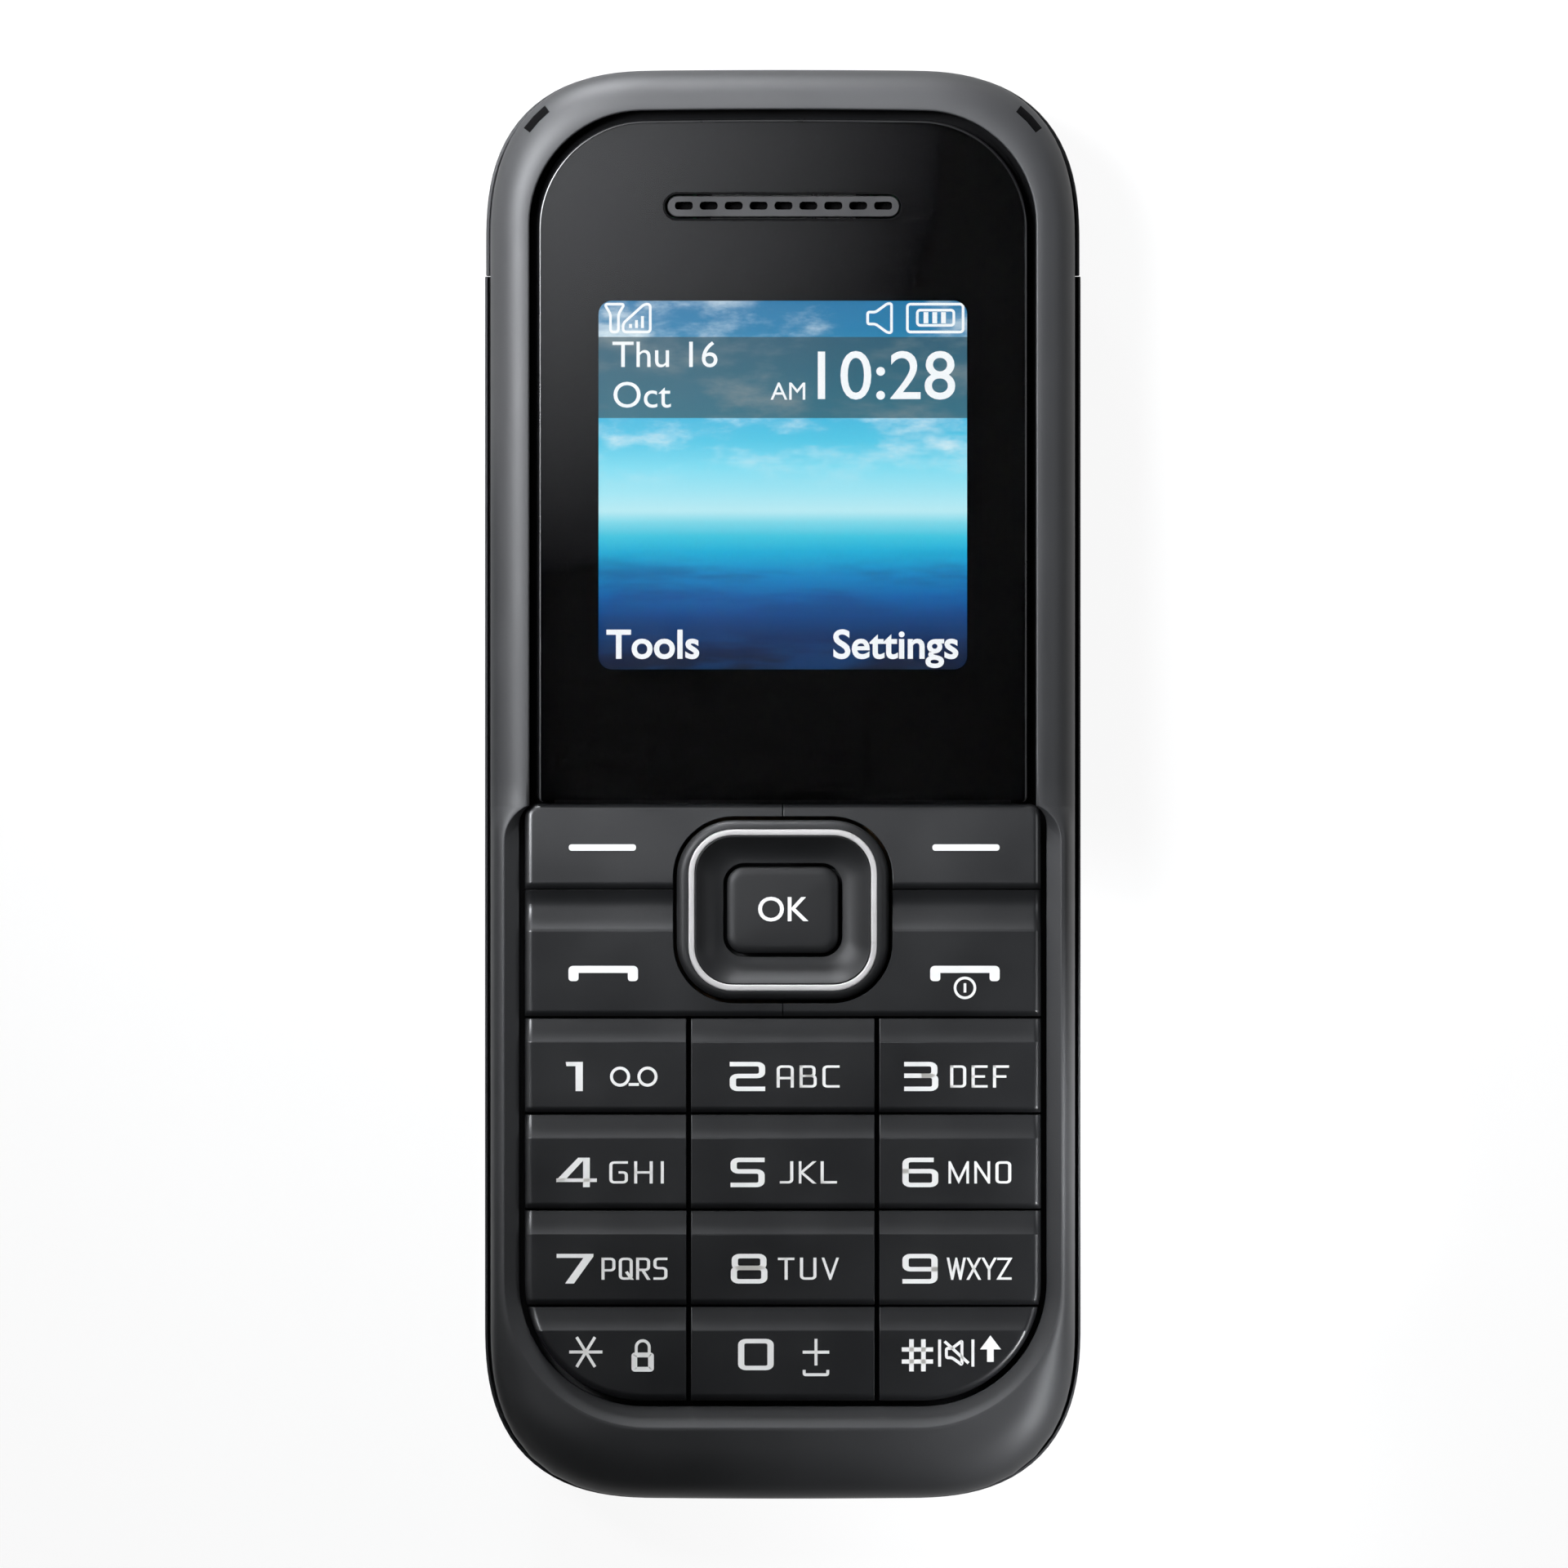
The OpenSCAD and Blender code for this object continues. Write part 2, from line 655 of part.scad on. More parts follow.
module receiver_gasket() color("#222222") {
  ring(box_rect(receiver_w, receiver_h, receiver_r, ear_y),
       box_rect(receiver_w - 2 * receiver_lip, receiver_h - 2 * receiver_lip, receiver_r / 2, ear_y),
       receiver_z1, ledge_z0);
}

panel_gap = 0.1;
panel_r = 0.3;
foam_edge = 0.35;
panel_outline = round_rect(lcd_hw - tray_wall - panel_gap, lcd_y0 + tray_wall + panel_gap,
                           lcd_y1 - tray_wall - panel_gap, panel_r, panel_r);

module lcd_panel() color("#1e6fb0") {
  slab(panel_outline, lcd_z1 - panel_t, lcd_z1);
}

module lcd_backlight() color("#f2f4f5") {
  slab(panel_outline, board_z1 + tray_wall, lcd_z1 - panel_t);
}

module lcd_frame() color("#d9dadb") {
  difference() {
    slab(lcd_outline, board_z1, lcd_z1);
    slab(round_rect(lcd_hw - tray_wall, lcd_y0 + tray_wall, lcd_y1 - tray_wall, panel_r, panel_r),
         board_z1 + tray_wall, lcd_z1 + through);
  }
}

module lcd_gasket() color("#202124") {
  ring(round_rect(lcd_hw - panel_gap, lcd_y0 + panel_gap, lcd_y1 - panel_gap, lcd_r, lcd_r),
       round_rect(display_hw + foam_edge, display_y0 - foam_edge, display_y1 + foam_edge,
                  window_r, window_r),
       lcd_z1, mask_z0);
}

flex_w = 12;
flex_t = 0.15;
plug_h = 0.9;
mat_head = 0.35;
flex_gap = 1.8;    // left between the display's plug and the keypad mat
plug_edge = 0.6;

flex_l = lcd_y0 - keypad_y1 - mat_rim - mat_head - flex_gap;

module lcd_flex() color("#b5651d") {
  block(-flex_w / 2, flex_w / 2, lcd_y0 - flex_l, lcd_y0, board_z1, board_z1 + flex_t);
  block(-flex_w / 2 + plug_edge, flex_w / 2 - plug_edge, lcd_y0 - flex_l + plug_edge / 2, lcd_y0 - plug_edge,
        board_z1, board_z1 + plug_h);
}

// Key caps: a profile along Y, cut to the keypad's outline and clear of the navigation key
module cap(profile, x0, x1) {
  intersection() {
    along_x(profile, x0, x1);
    translate([0, 0, key_z0 - through]) linear_extrude(key_h + 2 * through)
      difference() {
        polygon(key_area);
        polygon(nav_clear);
      }
  }
}

stem_root = 0.5;    // how far a stem reaches into its cap
cap_fall = 0.05;    // fall of a cap's top towards its foot

module stem(spot) {
  rod(spot[0], spot[1], stem_z0, key_z0 + stem_root, stem_r);
}

module number_key(row, col) color("#333437") {
  y0 = row_y0(row);
  y1 = y0 + row_step - slit;
  cap([[y0, key_z0], [y1, key_z0], [y1, key_z1 - key_step], [y1 - key_band, key_z1],
       [y0 + key_foot, key_z1 - cap_fall], [y0, key_z1 - key_foot]], key_x0(col), key_x1(col));
  stem(stem_spots[3 * row + col]);
}

module key_1() number_key(0, 0);
module key_2() number_key(0, 1);
module key_3() number_key(0, 2);
module key_4() number_key(1, 0);
module key_5() number_key(1, 1);
module key_6() number_key(1, 2);
module key_7() number_key(2, 0);
module key_8() number_key(2, 1);
module key_9() number_key(2, 2);
module key_star() number_key(3, 0);
module key_0() number_key(3, 1);
module key_hash() number_key(3, 2);

module soft_key(side) color("#3a3b3e") {
  cap([[soft_y0, key_z0], [keypad_y1, key_z0], [keypad_y1, key_z1 - key_foot],
       [keypad_y1 - key_foot, key_z1], [soft_y0, key_z1]],
      side < 0 ? -key_hw : hairline / 2, side < 0 ? -hairline / 2 : key_hw);
  stem(stem_spots[side < 0 ? 12 : 13]);
}

module soft_key_left() soft_key(-1);
module soft_key_right() soft_key(1);

module phone_key(side) color("#333437") {
  y0 = rows_y1 + slit;
  y1 = soft_y0 - slit;
  hollow = [for (i = [0:round_steps])
    let (t = i / round_steps)
      [y1 - valley_w * t, key_z1 - valley_h * (1 - t * t)]];
  cap(concat([[y0, key_z0], [y1, key_z0]], hollow,
             [[y0 + key_foot, key_z1], [y0, key_z1 - key_foot]]),
      side < 0 ? -key_hw : hairline / 2, side < 0 ? -hairline / 2 : key_hw);
  stem(stem_spots[side < 0 ? 14 : 15]);
}

module call_key() phone_key(-1);
module end_key() phone_key(1);

// Navigation key: a rocking ring on a silicone pad, with a centre key
tilt_room = 0.35;
nav_z1 = body_t;
ring_lift = 0.1;
ring_z0 = key_z0 + ring_lift;
pad_z1 = ring_z0 - tilt_room;
pad_z0 = mat_z0;
pad_edge = 0.3;
pad_hole = 0.5;
ok_hole = box_rect(ok_w + 2 * ok_gap, ok_l + 2 * ok_gap, ok_r + ok_gap, nav_y);
trim_in = box_rect(trim_w - 2 * trim_line, trim_l - 2 * trim_line, trim_r - trim_line, nav_y);
trim_out = box_rect(trim_w, trim_l, trim_r, nav_y);

nav_mid = 0.3 * nav_round;
dish_edge = 0.2;
ok_bevel = 0.3;

module nav_ring() color("#2c2d30") {
  difference() {
    loft([at_level(nav_outline, ring_z0),
          at_level(nav_outline, nav_z1 - nav_round),
          at_level(box_rect(nav_w - 2 * nav_mid, nav_l - 2 * nav_mid, nav_r - nav_mid, nav_y),
                   nav_z1 - nav_mid),
          at_level(box_rect(nav_w - 2 * nav_round, nav_l - 2 * nav_round, nav_r - nav_round, nav_y),
                   nav_z1)]);
    slab(ok_hole, ring_z0 - through, nav_z1 + through);
    ring(trim_out, trim_in, nav_z1 - trim_d, nav_z1 + through);
    loft([at_level(ok_hole, nav_z1 - dish_d),
          at_level(box_rect(trim_w - 2 * (trim_line + dish_edge), trim_l - 2 * (trim_line + dish_edge),
                            trim_r - trim_line - dish_edge, nav_y), nav_z1 + touch)]);
  }
}

module nav_trim() color("#e4e4e6") {
  ring(trim_out, trim_in, nav_z1 - trim_d, nav_z1);
}

module nav_pad() color("#8d9095") {
  difference() {
    union() {
      slab(box_rect(nav_w - 2 * pad_edge, nav_l - 2 * pad_edge, nav_r - pad_edge, nav_y), pad_z0, pad_z1);
      for (p = nav_spots) rod(p[0], nav_y + p[1], dome_z1 + tilt_room, pad_z0 + stem_root / 2, stem_r);
    }
    rod(0, nav_y, pad_z0 - through, pad_z1 + through, stem_r + pad_hole);
  }
}

module ok_key() color("#303134") {
  z1 = nav_z1 - ok_sink;
  loft([at_level(box_rect(ok_w, ok_l, ok_r, nav_y), ring_z0 + tilt_room),
        at_level(box_rect(ok_w, ok_l, ok_r, nav_y), z1 - ok_bevel),
        at_level(box_rect(ok_w - 2 * ok_bevel, ok_l - 2 * ok_bevel, ok_r - ok_bevel, nav_y), z1)]);
  rod(0, nav_y, stem_z0, ring_z0 + stem_root, stem_r);
}

// Keypad mat: clamped by its rim between the board and the front frame
mat_side = 0.1;
mat_r = 0.9;
mat_foot_r = keypad_r + keypad_gap + mat_side;
mat_hole = 0.25;
mat_hw = opening_hw + mat_rim + mat_side;
mat_y0 = opening_y0 - mat_rim - mat_side;
mat_y1 = keypad_y1 + mat_rim + mat_head;
mat_outline = round_rect(mat_hw, mat_y0, mat_y1, mat_r, mat_foot_r + mat_rim);
mat_inner = round_rect(mat_hw - mat_rim, mat_y0 + mat_rim, mat_y1 - mat_rim, mat_r / 2, mat_foot_r);

module keypad_mat() color("#c9ccd0") {
  ring(mat_outline, mat_inner, film_z1 + touch, ledge_z0 - touch);
  difference() {
    slab(mat_outline, mat_z0, mat_z1);
    slab(nav_clear, mat_z0 - through, mat_z1 + through);
    for (p = stem_spots) rod(p[0], p[1], mat_z0 - through, mat_z1 + through, stem_r + mat_hole);
  }
}

small_dome_r = stem_r + 0.2;

module dome(spot, r) {
  translate([spot[0], spot[1], film_z1 - film_t / 2]) cylinder(h = dome_h + film_t / 2, r1 = r, r2 = stem_r);
}

module dome_sheet() color("#d8c27a") {
  slab(mat_outline, board_z1, film_z1);
  for (p = stem_spots) dome(p, dome_r);
  for (p = concat([[0, 0]], nav_spots)) dome([p[0], nav_y + p[1]], small_dome_r);
}

led_w = 1.6;
led_l = 0.8;
led_h = 0.5;

module key_leds() color("#fbf7e6") {
  for (sx = [-1, 1], row = [0, 1, 2])
    translate([sx * column_w / 2 - led_w / 2, row_y0(row) - slit / 2 - led_l / 2, film_z1])
      cube([led_w, led_l, led_h]);
}

// Board with its parts
module main_board() color("#1f5a3a") {
  difference() {
    slab(shell_outline(board_inset), board_z0, board_z1);
    for (s = screw_spots) rod(s[0], s[1], board_z0 - through, board_z1 + through, screw_d / 2 + screw_clear);
  }
}

sim_w = 15;
sim_l = 25;
sim_t = 0.76;
sim_r = 0.3;
sim_rise = 3;
sim_lift = 0.1;
sim_rim = 1.1;
sim_fit = 0.2;
sim_lip = 2;
sim_wall = 0.5;
sim_y = battery_y0 + sim_rise + sim_w / 2;
sim_z0 = floor_z0 + sim_lift + sim_wall;

shield_t = 0.2;
shield_r = 0.8;
chip_h = 0.8;
chip_r = 0.3;
chip_gap = 4;
can_side = 6;
can_gap = 1.1;
can_head = 4;
upper_can_h = 2;
can_share = 0.39;    // upper shield's share of the upper deck
can_place = 0.61;    // and the place of its middle there
can_w = 2 * (deck_hw - can_side);
can_y0 = sim_y + sim_w / 2 + sim_rim + can_gap;
can_y1 = deck_y0 - can_head;
deck_l = deck_y1 - deck_y0;
// Middle x and y, width, length and height of each shield
shield_spots = [
  [0, (can_y0 + can_y1) / 2, can_w, can_y1 - can_y0, shield_h],
  [0, deck_y0 + can_place * deck_l, can_w, can_share * deck_l, upper_can_h]];

module shield_cans() color("#c3c6c9") {
  for (s = shield_spots)
    translate([s[0], s[1], 0])
      difference() {
        slab(box_rect(s[2], s[3], shield_r), board_z0 - s[4], board_z0);
        slab(box_rect(s[2] - 2 * shield_t, s[3] - 2 * shield_t, shield_r - shield_t),
             board_z0 - s[4] + shield_t, board_z0 + through);
      }
}

module board_chips() color("#1a1a1c") {
  for (s = shield_spots, side = [-1, 1])
    translate([s[0] + side * s[2] / 4, s[1], board_z0 - chip_h])
      slab(box_rect(s[2] / 2 - chip_gap, s[3] / 2, chip_r), 0, chip_h);
}

module sim_socket() color("#b9bcc0") {
  difference() {
    slab(box_rect(sim_l + 2 * sim_rim, sim_w + 2 * sim_rim, sim_r, sim_y), sim_z0 - sim_wall, board_z0);
    slab(box_rect(sim_l + 2 * sim_fit, sim_w + 2 * sim_fit, sim_r, sim_y), sim_z0, board_z0 - sim_wall);
    slab(box_rect(sim_l - 2 * sim_lip, sim_w - 2 * sim_lip, sim_r, sim_y),
         floor_z0 - through, sim_z0 + sim_lift);
  }
}

module sim_card() color("#e9e6da") {
  slab(box_rect(sim_l, sim_w, 1, sim_y), sim_z0, sim_z0 + sim_t);
}

connector_w = 9;
connector_l = 3;
connector_rise = 1.6;
connector_drop = 0.4;
connector_fit = 0.1;
connector_z0 = battery_z0 + connector_rise;
connector_z1 = battery_z1 - connector_drop;
contact_pitch = 2.6;
contact_w = 1;
contact_l = 1.4;
contact_edge = 0.6;

module battery_connector() color("#26272a") {
  difference() {
    block(-connector_w / 2, connector_w / 2, deck_y0 + touch, deck_y0 + connector_l,
          connector_z0, board_z0 - touch);
    for (i = [-1:1])
      translate([i * contact_pitch, 0, 0])
        block(-contact_w / 2 - connector_fit, contact_w / 2 + connector_fit, deck_y0 - through,
              deck_y0 + contact_l, connector_z0 + contact_edge, connector_z1 - contact_edge / 3);
  }
}

module battery_contacts() color("#d9b65a") {
  for (i = [-1:1])
    block(i * contact_pitch - contact_w / 2, i * contact_pitch + contact_w / 2,
          battery_y1 + battery_gap / 2, deck_y0 + contact_l,
          connector_z0 + contact_edge + connector_fit, connector_z1 - contact_edge);
}

tongue_t = 0.6;
tongue_sink = 0.8;

module usb_socket() color("#b4b7bb") {
  z = (usb_z0 + usb_z1) / 2;
  difference() {
    block(-usb_w / 2, usb_w / 2, usb_y1 - usb_l, usb_y1, usb_z0, usb_z1);
    block(-usb_w / 2 + usb_wall, usb_w / 2 - usb_wall, usb_y1 - usb_l + usb_back, usb_y1 + through,
          usb_z0 + usb_wall, usb_z1 - usb_wall);
  }
  block(-usb_w / 4, usb_w / 4, usb_y1 - usb_l + usb_back / 2, usb_y1 - tongue_sink,
        z - tongue_t / 2, z + tongue_t / 2);
}

jack_body_l = jack_depth - 2.4;    // square body behind the round nose

module headset_jack() color("#1c1d1f") {
  y_back = jack_y1 - jack_depth - jack_end;
  difference() {
    union() {
      translate([jack_mid_x, jack_y1, jack_z])
        rotate([90, 0, 0]) cylinder(h = jack_depth + jack_end, r = jack_d / 2);
      block(jack_mid_x - jack_d / 2 - jack_side, jack_mid_x + jack_d / 2 + jack_side,
            y_back, y_back + jack_body_l, jack_z - jack_d / 2 + jack_side, board_z0 - touch);
    }
    translate([jack_mid_x, jack_y1 + through, jack_z])
      rotate([90, 0, 0]) cylinder(h = jack_depth + through, r = jack_bore / 2);
  }
}

module microphone() color("#c9b77c") {
  rod(mic_x, mic_y, board_z1 + touch, board_z1 + mic_h, mic_r);
}

module mic_boot() color("#2a2b2d") {
  difference() {
    rod(mic_x, mic_y, board_z1 + touch, ledge_z0 - touch, mic_r + boot_wall);
    rod(mic_x, mic_y, board_z1 - through, board_z1 + mic_h + boot_fit, mic_r + boot_fit);
    translate([mic_x, mic_y, mic_z]) rotate([90, 0, 0]) cylinder(h = mic_r + through, r = mic_hole_r);
  }
}

cone_d = 0.5;
cone_side = 2.6;

module loudspeaker() color("#2b2c2f") {
  difference() {
    rod(-speaker_x, speaker_y, speaker_z0, speaker_z0 + speaker_h, speaker_d / 2);
    translate([-speaker_x, speaker_y, speaker_z0 - 0.01])
      cylinder(h = cone_d, r1 = speaker_d / 2 - speaker_lip - speaker_foam_w,
               r2 = speaker_d / 2 - cone_side);
  }
}

module speaker_gasket() color("#1b1b1b") {
  difference() {
    rod(-speaker_x, speaker_y, seat_z, speaker_z0, speaker_d / 2 - speaker_lip);
    rod(-speaker_x, speaker_y, seat_z - through, speaker_z0 + through,
        speaker_d / 2 - speaker_lip - speaker_foam_w);
  }
}

spring_x = 2;
spring_w = 1.2;

module speaker_contacts() color("#d0a94d") {
  for (side = [-1, 1])
    block(-speaker_x + side * spring_x - spring_w / 2, -speaker_x + side * spring_x + spring_w / 2,
          speaker_y - spring_w / 4, speaker_y + spring_w / 4,
          speaker_z0 + speaker_h, board_z0);
}

module vibration_motor() color("#b8babd") {
  translate([motor_x - motor_l / 2, motor_y, motor_z]) rotate([0, 90, 0]) {
    cylinder(h = motor_l, r = motor_r);
    cylinder(h = motor_l + weight_gap, r = nose_r);
    cylinder(h = motor_l + weight_gap + weight_l + 3 * weight_play, r = shaft_r);
  }
}

module vibration_weight() color("#8f9296") {
  translate([motor_x + motor_l / 2 + weight_gap + weight_play, motor_y, motor_z]) rotate([0, 90, 0])
    difference() {
      union() {
        intersection() {
          cylinder(h = weight_l, r = motor_r - weight_play);
          translate([0, -motor_r, -through]) cube([motor_r, 2 * motor_r, weight_l + 2 * through]);
        }
        cylinder(h = weight_l, r = nose_r);
      }
      translate([0, 0, -through]) cylinder(h = weight_l + 2 * through, r = shaft_r + shaft_play);
    }
}

antenna_t = 0.2;
antenna_w = 24;
antenna_l = 11;
antenna_rise = 5;
antenna_arm = 3;
antenna_slot_y = 4;
antenna_slot = 1.2;
leg_x = 3;
leg_w = 1.2;
leg_t = 0.4;
antenna_y0 = deck_y0 + antenna_rise;
antenna_y1 = antenna_y0 + antenna_l;

module antenna() color("#cfa75a") {
  z0 = deck_z0 + deck_wall;
  difference() {
    block(-antenna_w / 2, antenna_w / 2, antenna_y0, antenna_y1, z0, z0 + antenna_t);
    block(-antenna_w / 2 + antenna_arm, antenna_w / 2 + through, antenna_y0 + antenna_slot_y,
          antenna_y0 + antenna_slot_y + antenna_slot, z0 - through, z0 + through);
  }
  for (x = [-leg_x, leg_x])
    block(x - leg_w / 2, x + leg_w / 2, antenna_y0, antenna_y0 + leg_t, z0, board_z0);
}

// Rear housing: fixed top of the back, bulkhead, board tray and decks
module deck(outline, hollow, z0) {
  difference() {
    slab(outline, z0, floor_z1);
    slab(hollow, z0 + deck_wall, floor_z1 + through);
  }
}

deck_outline = round_rect(deck_hw, deck_y0, deck_y1, deck_r, deck_r);
deck_hollow = round_rect(deck_hw - deck_wall, deck_y0 + deck_wall, deck_y1 - deck_wall, deck_r, deck_r);
lower_outline = round_rect(lower_deck_hw, lower_deck_y0, lower_deck_y1, deck_r, lower_deck_r);
lower_hollow = round_rect(lower_deck_hw - deck_wall, lower_deck_y0 + deck_wall, lower_deck_y1 - deck_wall,
                          deck_r, lower_deck_r - deck_wall);
skirt_x = battery_w / 2 + battery_gap;
port_depth = 4.1;    // length of the socket openings in the shell

module top_skin() {
  intersection() {
    difference() {
      back_form(cover_proud, rear_z1);
      back_form(shell_wall + cover_proud, rear_z1 + through);
    }
    block(-half_w, half_w, split_y + cover_gap / 2, half_l, -through, rear_z1 + through);
  }
}

module bulkhead() {
  intersection() {
    back_form(cover_proud + shell_wall / 2, board_z0);
    block(-half_w, half_w, split_y + cover_gap / 2, deck_y1, -through, board_z0);
  }
}

module board_tray() {
  intersection() {
    ring(shell_outline(chassis_inset), shell_outline(chassis_inset + chassis_wall), floor_z0, board_z0);
    block(-half_w, half_w, -half_l, deck_y1, 0, body_t);
  }
  difference() {
    intersection() {
      slab(shell_outline(chassis_inset), floor_z0, floor_z1);
      block(-half_w, half_w, -half_l, deck_y1, 0, body_t);
    }
    slab(deck_hollow, floor_z0 - through, floor_z1 + through);
    slab(lower_hollow, floor_z0 - through, floor_z1 + through);
    slab(box_rect(sim_l + 2 * (sim_rim + sim_r), sim_w + 2 * (sim_rim + sim_r), 2 * sim_r, sim_y),
         floor_z0 - through, floor_z1 + through);
  }
}

module speaker_wall() {
  difference() {
    intersection() {
      rod(-speaker_x, speaker_y, 0, speaker_z0 + speaker_h / 2, speaker_d / 2 + speaker_wall_t);
      back_form(cover_proud + shell_wall / 2, board_z0);
    }
    rod(-speaker_x, speaker_y, seat_z, speaker_z0 + speaker_h, speaker_d / 2 + speaker_fit);
  }
}

module rear_housing() color("#3b3c3f") {
  difference() {
    union() {
      top_skin();
      bulkhead();
      board_tray();
      deck(deck_outline, deck_hollow, deck_z0);
      deck(lower_outline, lower_hollow, lower_deck_z0);
      for (side = [-1, 1])
        block(side > 0 ? skirt_x : -skirt_x - deck_wall, side > 0 ? skirt_x + deck_wall : -skirt_x,
              lower_deck_y1 - deck_wall, deck_y0 + deck_wall, deck_z0, floor_z1);
      for (s = screw_spots) rod(s[0], s[1], s[2], board_z0, column_d / 2);
      speaker_wall();
      block(motor_x - motor_l / 2 + cradle_end, motor_x + motor_l / 2 - cradle_end,
            motor_y - motor_r, motor_y + motor_r, lower_deck_z0, motor_z - cradle_drop);
    }
    for (side = [-1, 1])
      translate([side * (half_w - chassis_inset), 0, 0])
        block(-rail_w + rail_end_clear, rail_w, -half_l, split_y + cover_gap / 2 - touch,
              rail_z0 - rail_clear, rail_z0 + rail_h + rail_clear);
    for (s = screw_spots) {
      rod(s[0], s[1], s[2] - through, board_z0 + through, screw_d / 2 + screw_clear);
      rod(s[0], s[1], s[2] - through, s[2] + head_h + head_sink, head_d / 2 + screw_clear);
    }
    translate([motor_x - motor_l / 2 - through, motor_y, motor_z]) rotate([0, 90, 0])
      cylinder(h = motor_l + 2 * through, r = motor_r + touch);
    translate([jack_mid_x, half_l + through, jack_z]) rotate([90, 0, 0])
      cylinder(h = through + port_depth, r = jack_d / 2 + port_gap);
    block(-usb_w / 2 - port_gap, usb_w / 2 + port_gap, half_l - port_depth, half_l + through,
          usb_z0 - port_gap, usb_z1 + port_gap);
    for (i = [0:speaker_slots - 1])
      translate([-speaker_x, 0, 0])
        slab(box_rect(speaker_d - 2 * (speaker_lip + speaker_foam_w) - touch, speaker_slot_w,
                      speaker_slot_w / 2 - touch,
                      speaker_y + (i - (speaker_slots - 1) / 2) * speaker_pitch), -through, seat_z + touch);
    block(-connector_w / 2 - connector_fit, connector_w / 2 + connector_fit, deck_y0 - through,
          deck_y0 + connector_l, connector_z0 - connector_fit, floor_z1 + through);
  }
}

battery_r = 1.2;

module battery() color("#2d3036") {
  slab(round_rect(battery_w / 2, battery_y0, battery_y1, battery_r, battery_r), battery_z0, battery_z1);
}

module battery_terminals() color("#d9b65a") {
  for (i = [-1:1])
    block(i * contact_pitch - contact_w, i * contact_pitch + contact_w,
          battery_y1, battery_y1 + battery_gap / 2,
          connector_z0 + contact_edge, connector_z1 - contact_edge / 3);
}

module battery_cover() color("#36373a") {
  intersection() {
    difference() {
      back_form(0, rear_z1);
      back_form(shell_wall, rear_z1 + through);
    }
    block(-half_w, half_w, -half_l, split_y - cover_gap / 2, -through, rear_z1 + through);
  }
  for (side = [-1, 1])
    translate([side * (half_w - shell_wall / 2), 0, 0])
      block(side > 0 ? -rail_w - shell_wall / 2 : 0, side > 0 ? 0 : rail_w + shell_wall / 2,
            -rail_l / 2, rail_l / 2, rail_z0, rail_z0 + rail_h);
}

module case_screws() color("#9a9da1") {
  for (s = screw_spots) {
    rod(s[0], s[1], s[2] + head_sink, s[2] + head_sink + head_h, head_d / 2);
    rod(s[0], s[1], s[2] + head_sink, screw_tip_z - tip_clear, screw_d / 2);
  }
}

front_frame();
screen_lens();
lens_mask();
lens_tape();
earpiece_grille();
earpiece_mesh();
receiver();
receiver_gasket();
lcd_panel();
lcd_backlight();
lcd_frame();
lcd_gasket();
lcd_flex();
soft_key_left();
soft_key_right();
call_key();
end_key();
nav_ring();
nav_trim();
nav_pad();
ok_key();
key_1();
key_2();
key_3();
key_4();
key_5();
key_6();
key_7();
key_8();
key_9();
key_star();
key_0();
key_hash();
keypad_mat();
dome_sheet();
key_leds();
main_board();
shield_cans();
board_chips();
sim_socket();
sim_card();
battery_connector();
battery_contacts();
usb_socket();
headset_jack();
microphone();
mic_boot();
loudspeaker();
speaker_gasket();
speaker_contacts();
vibration_motor();
vibration_weight();
antenna();
rear_housing();
battery();
battery_terminals();
battery_cover();
case_screws();
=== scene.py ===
import json
import math

import bmesh
import bpy
from mathutils import Matrix, Vector


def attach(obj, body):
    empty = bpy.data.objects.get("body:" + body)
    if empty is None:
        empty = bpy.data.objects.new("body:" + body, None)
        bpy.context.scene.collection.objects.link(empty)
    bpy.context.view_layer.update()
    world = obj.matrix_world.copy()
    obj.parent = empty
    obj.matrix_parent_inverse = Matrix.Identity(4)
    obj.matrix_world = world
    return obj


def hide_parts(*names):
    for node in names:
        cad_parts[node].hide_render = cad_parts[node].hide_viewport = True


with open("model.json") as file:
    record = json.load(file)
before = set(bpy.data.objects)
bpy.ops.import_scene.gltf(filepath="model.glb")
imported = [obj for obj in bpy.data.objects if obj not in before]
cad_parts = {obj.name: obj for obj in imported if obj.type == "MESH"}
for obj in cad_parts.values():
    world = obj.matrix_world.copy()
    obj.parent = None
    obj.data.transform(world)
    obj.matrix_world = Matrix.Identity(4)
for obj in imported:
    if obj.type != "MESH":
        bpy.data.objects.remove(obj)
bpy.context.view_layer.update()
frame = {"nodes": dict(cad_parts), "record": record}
cad = frame["nodes"]
scene = bpy.context.scene
mm = 0.001
print("frame loaded:", len(cad), "nodes")


# camera straight above the phone, which lies on its back
view = {"width": 118.45, "level": 9.0, "lens": 600.0, "sensor": 36, "across": 0.09, "along": 0.0}

cameraData = bpy.data.cameras.new("camera")
cameraData.sensor_width = view["sensor"]
cameraData.lens = view["lens"]
cameraData.clip_start = 0.01
cameraData.clip_end = 20
camera = bpy.data.objects.new("camera", cameraData)
above = view["level"] + view["width"] * view["lens"] / view["sensor"]
camera.location = Vector((view["across"], view["along"], above)) * mm
scene.collection.objects.link(camera)
scene.camera = camera
scene.view_settings.view_transform = "Standard"
print("camera set", round(above), "mm up")


# finishes

def rgb(red, green, blue):  # screen values 0 to 255 to a linear colour
    def lift(part):
        part = part / 255
        return part / 12.92 if part <= 0.04045 else ((part + 0.055) / 1.055) ** 2.4
    return (lift(red), lift(green), lift(blue), 1)


def newFinish(name):
    finish = bpy.data.materials.new(name)
    finish.use_nodes = True
    tree = finish.node_tree
    shader = tree.nodes["Principled BSDF"]
    place = tree.nodes.new("ShaderNodeTexCoord").outputs["Object"]
    return finish, tree, shader, place


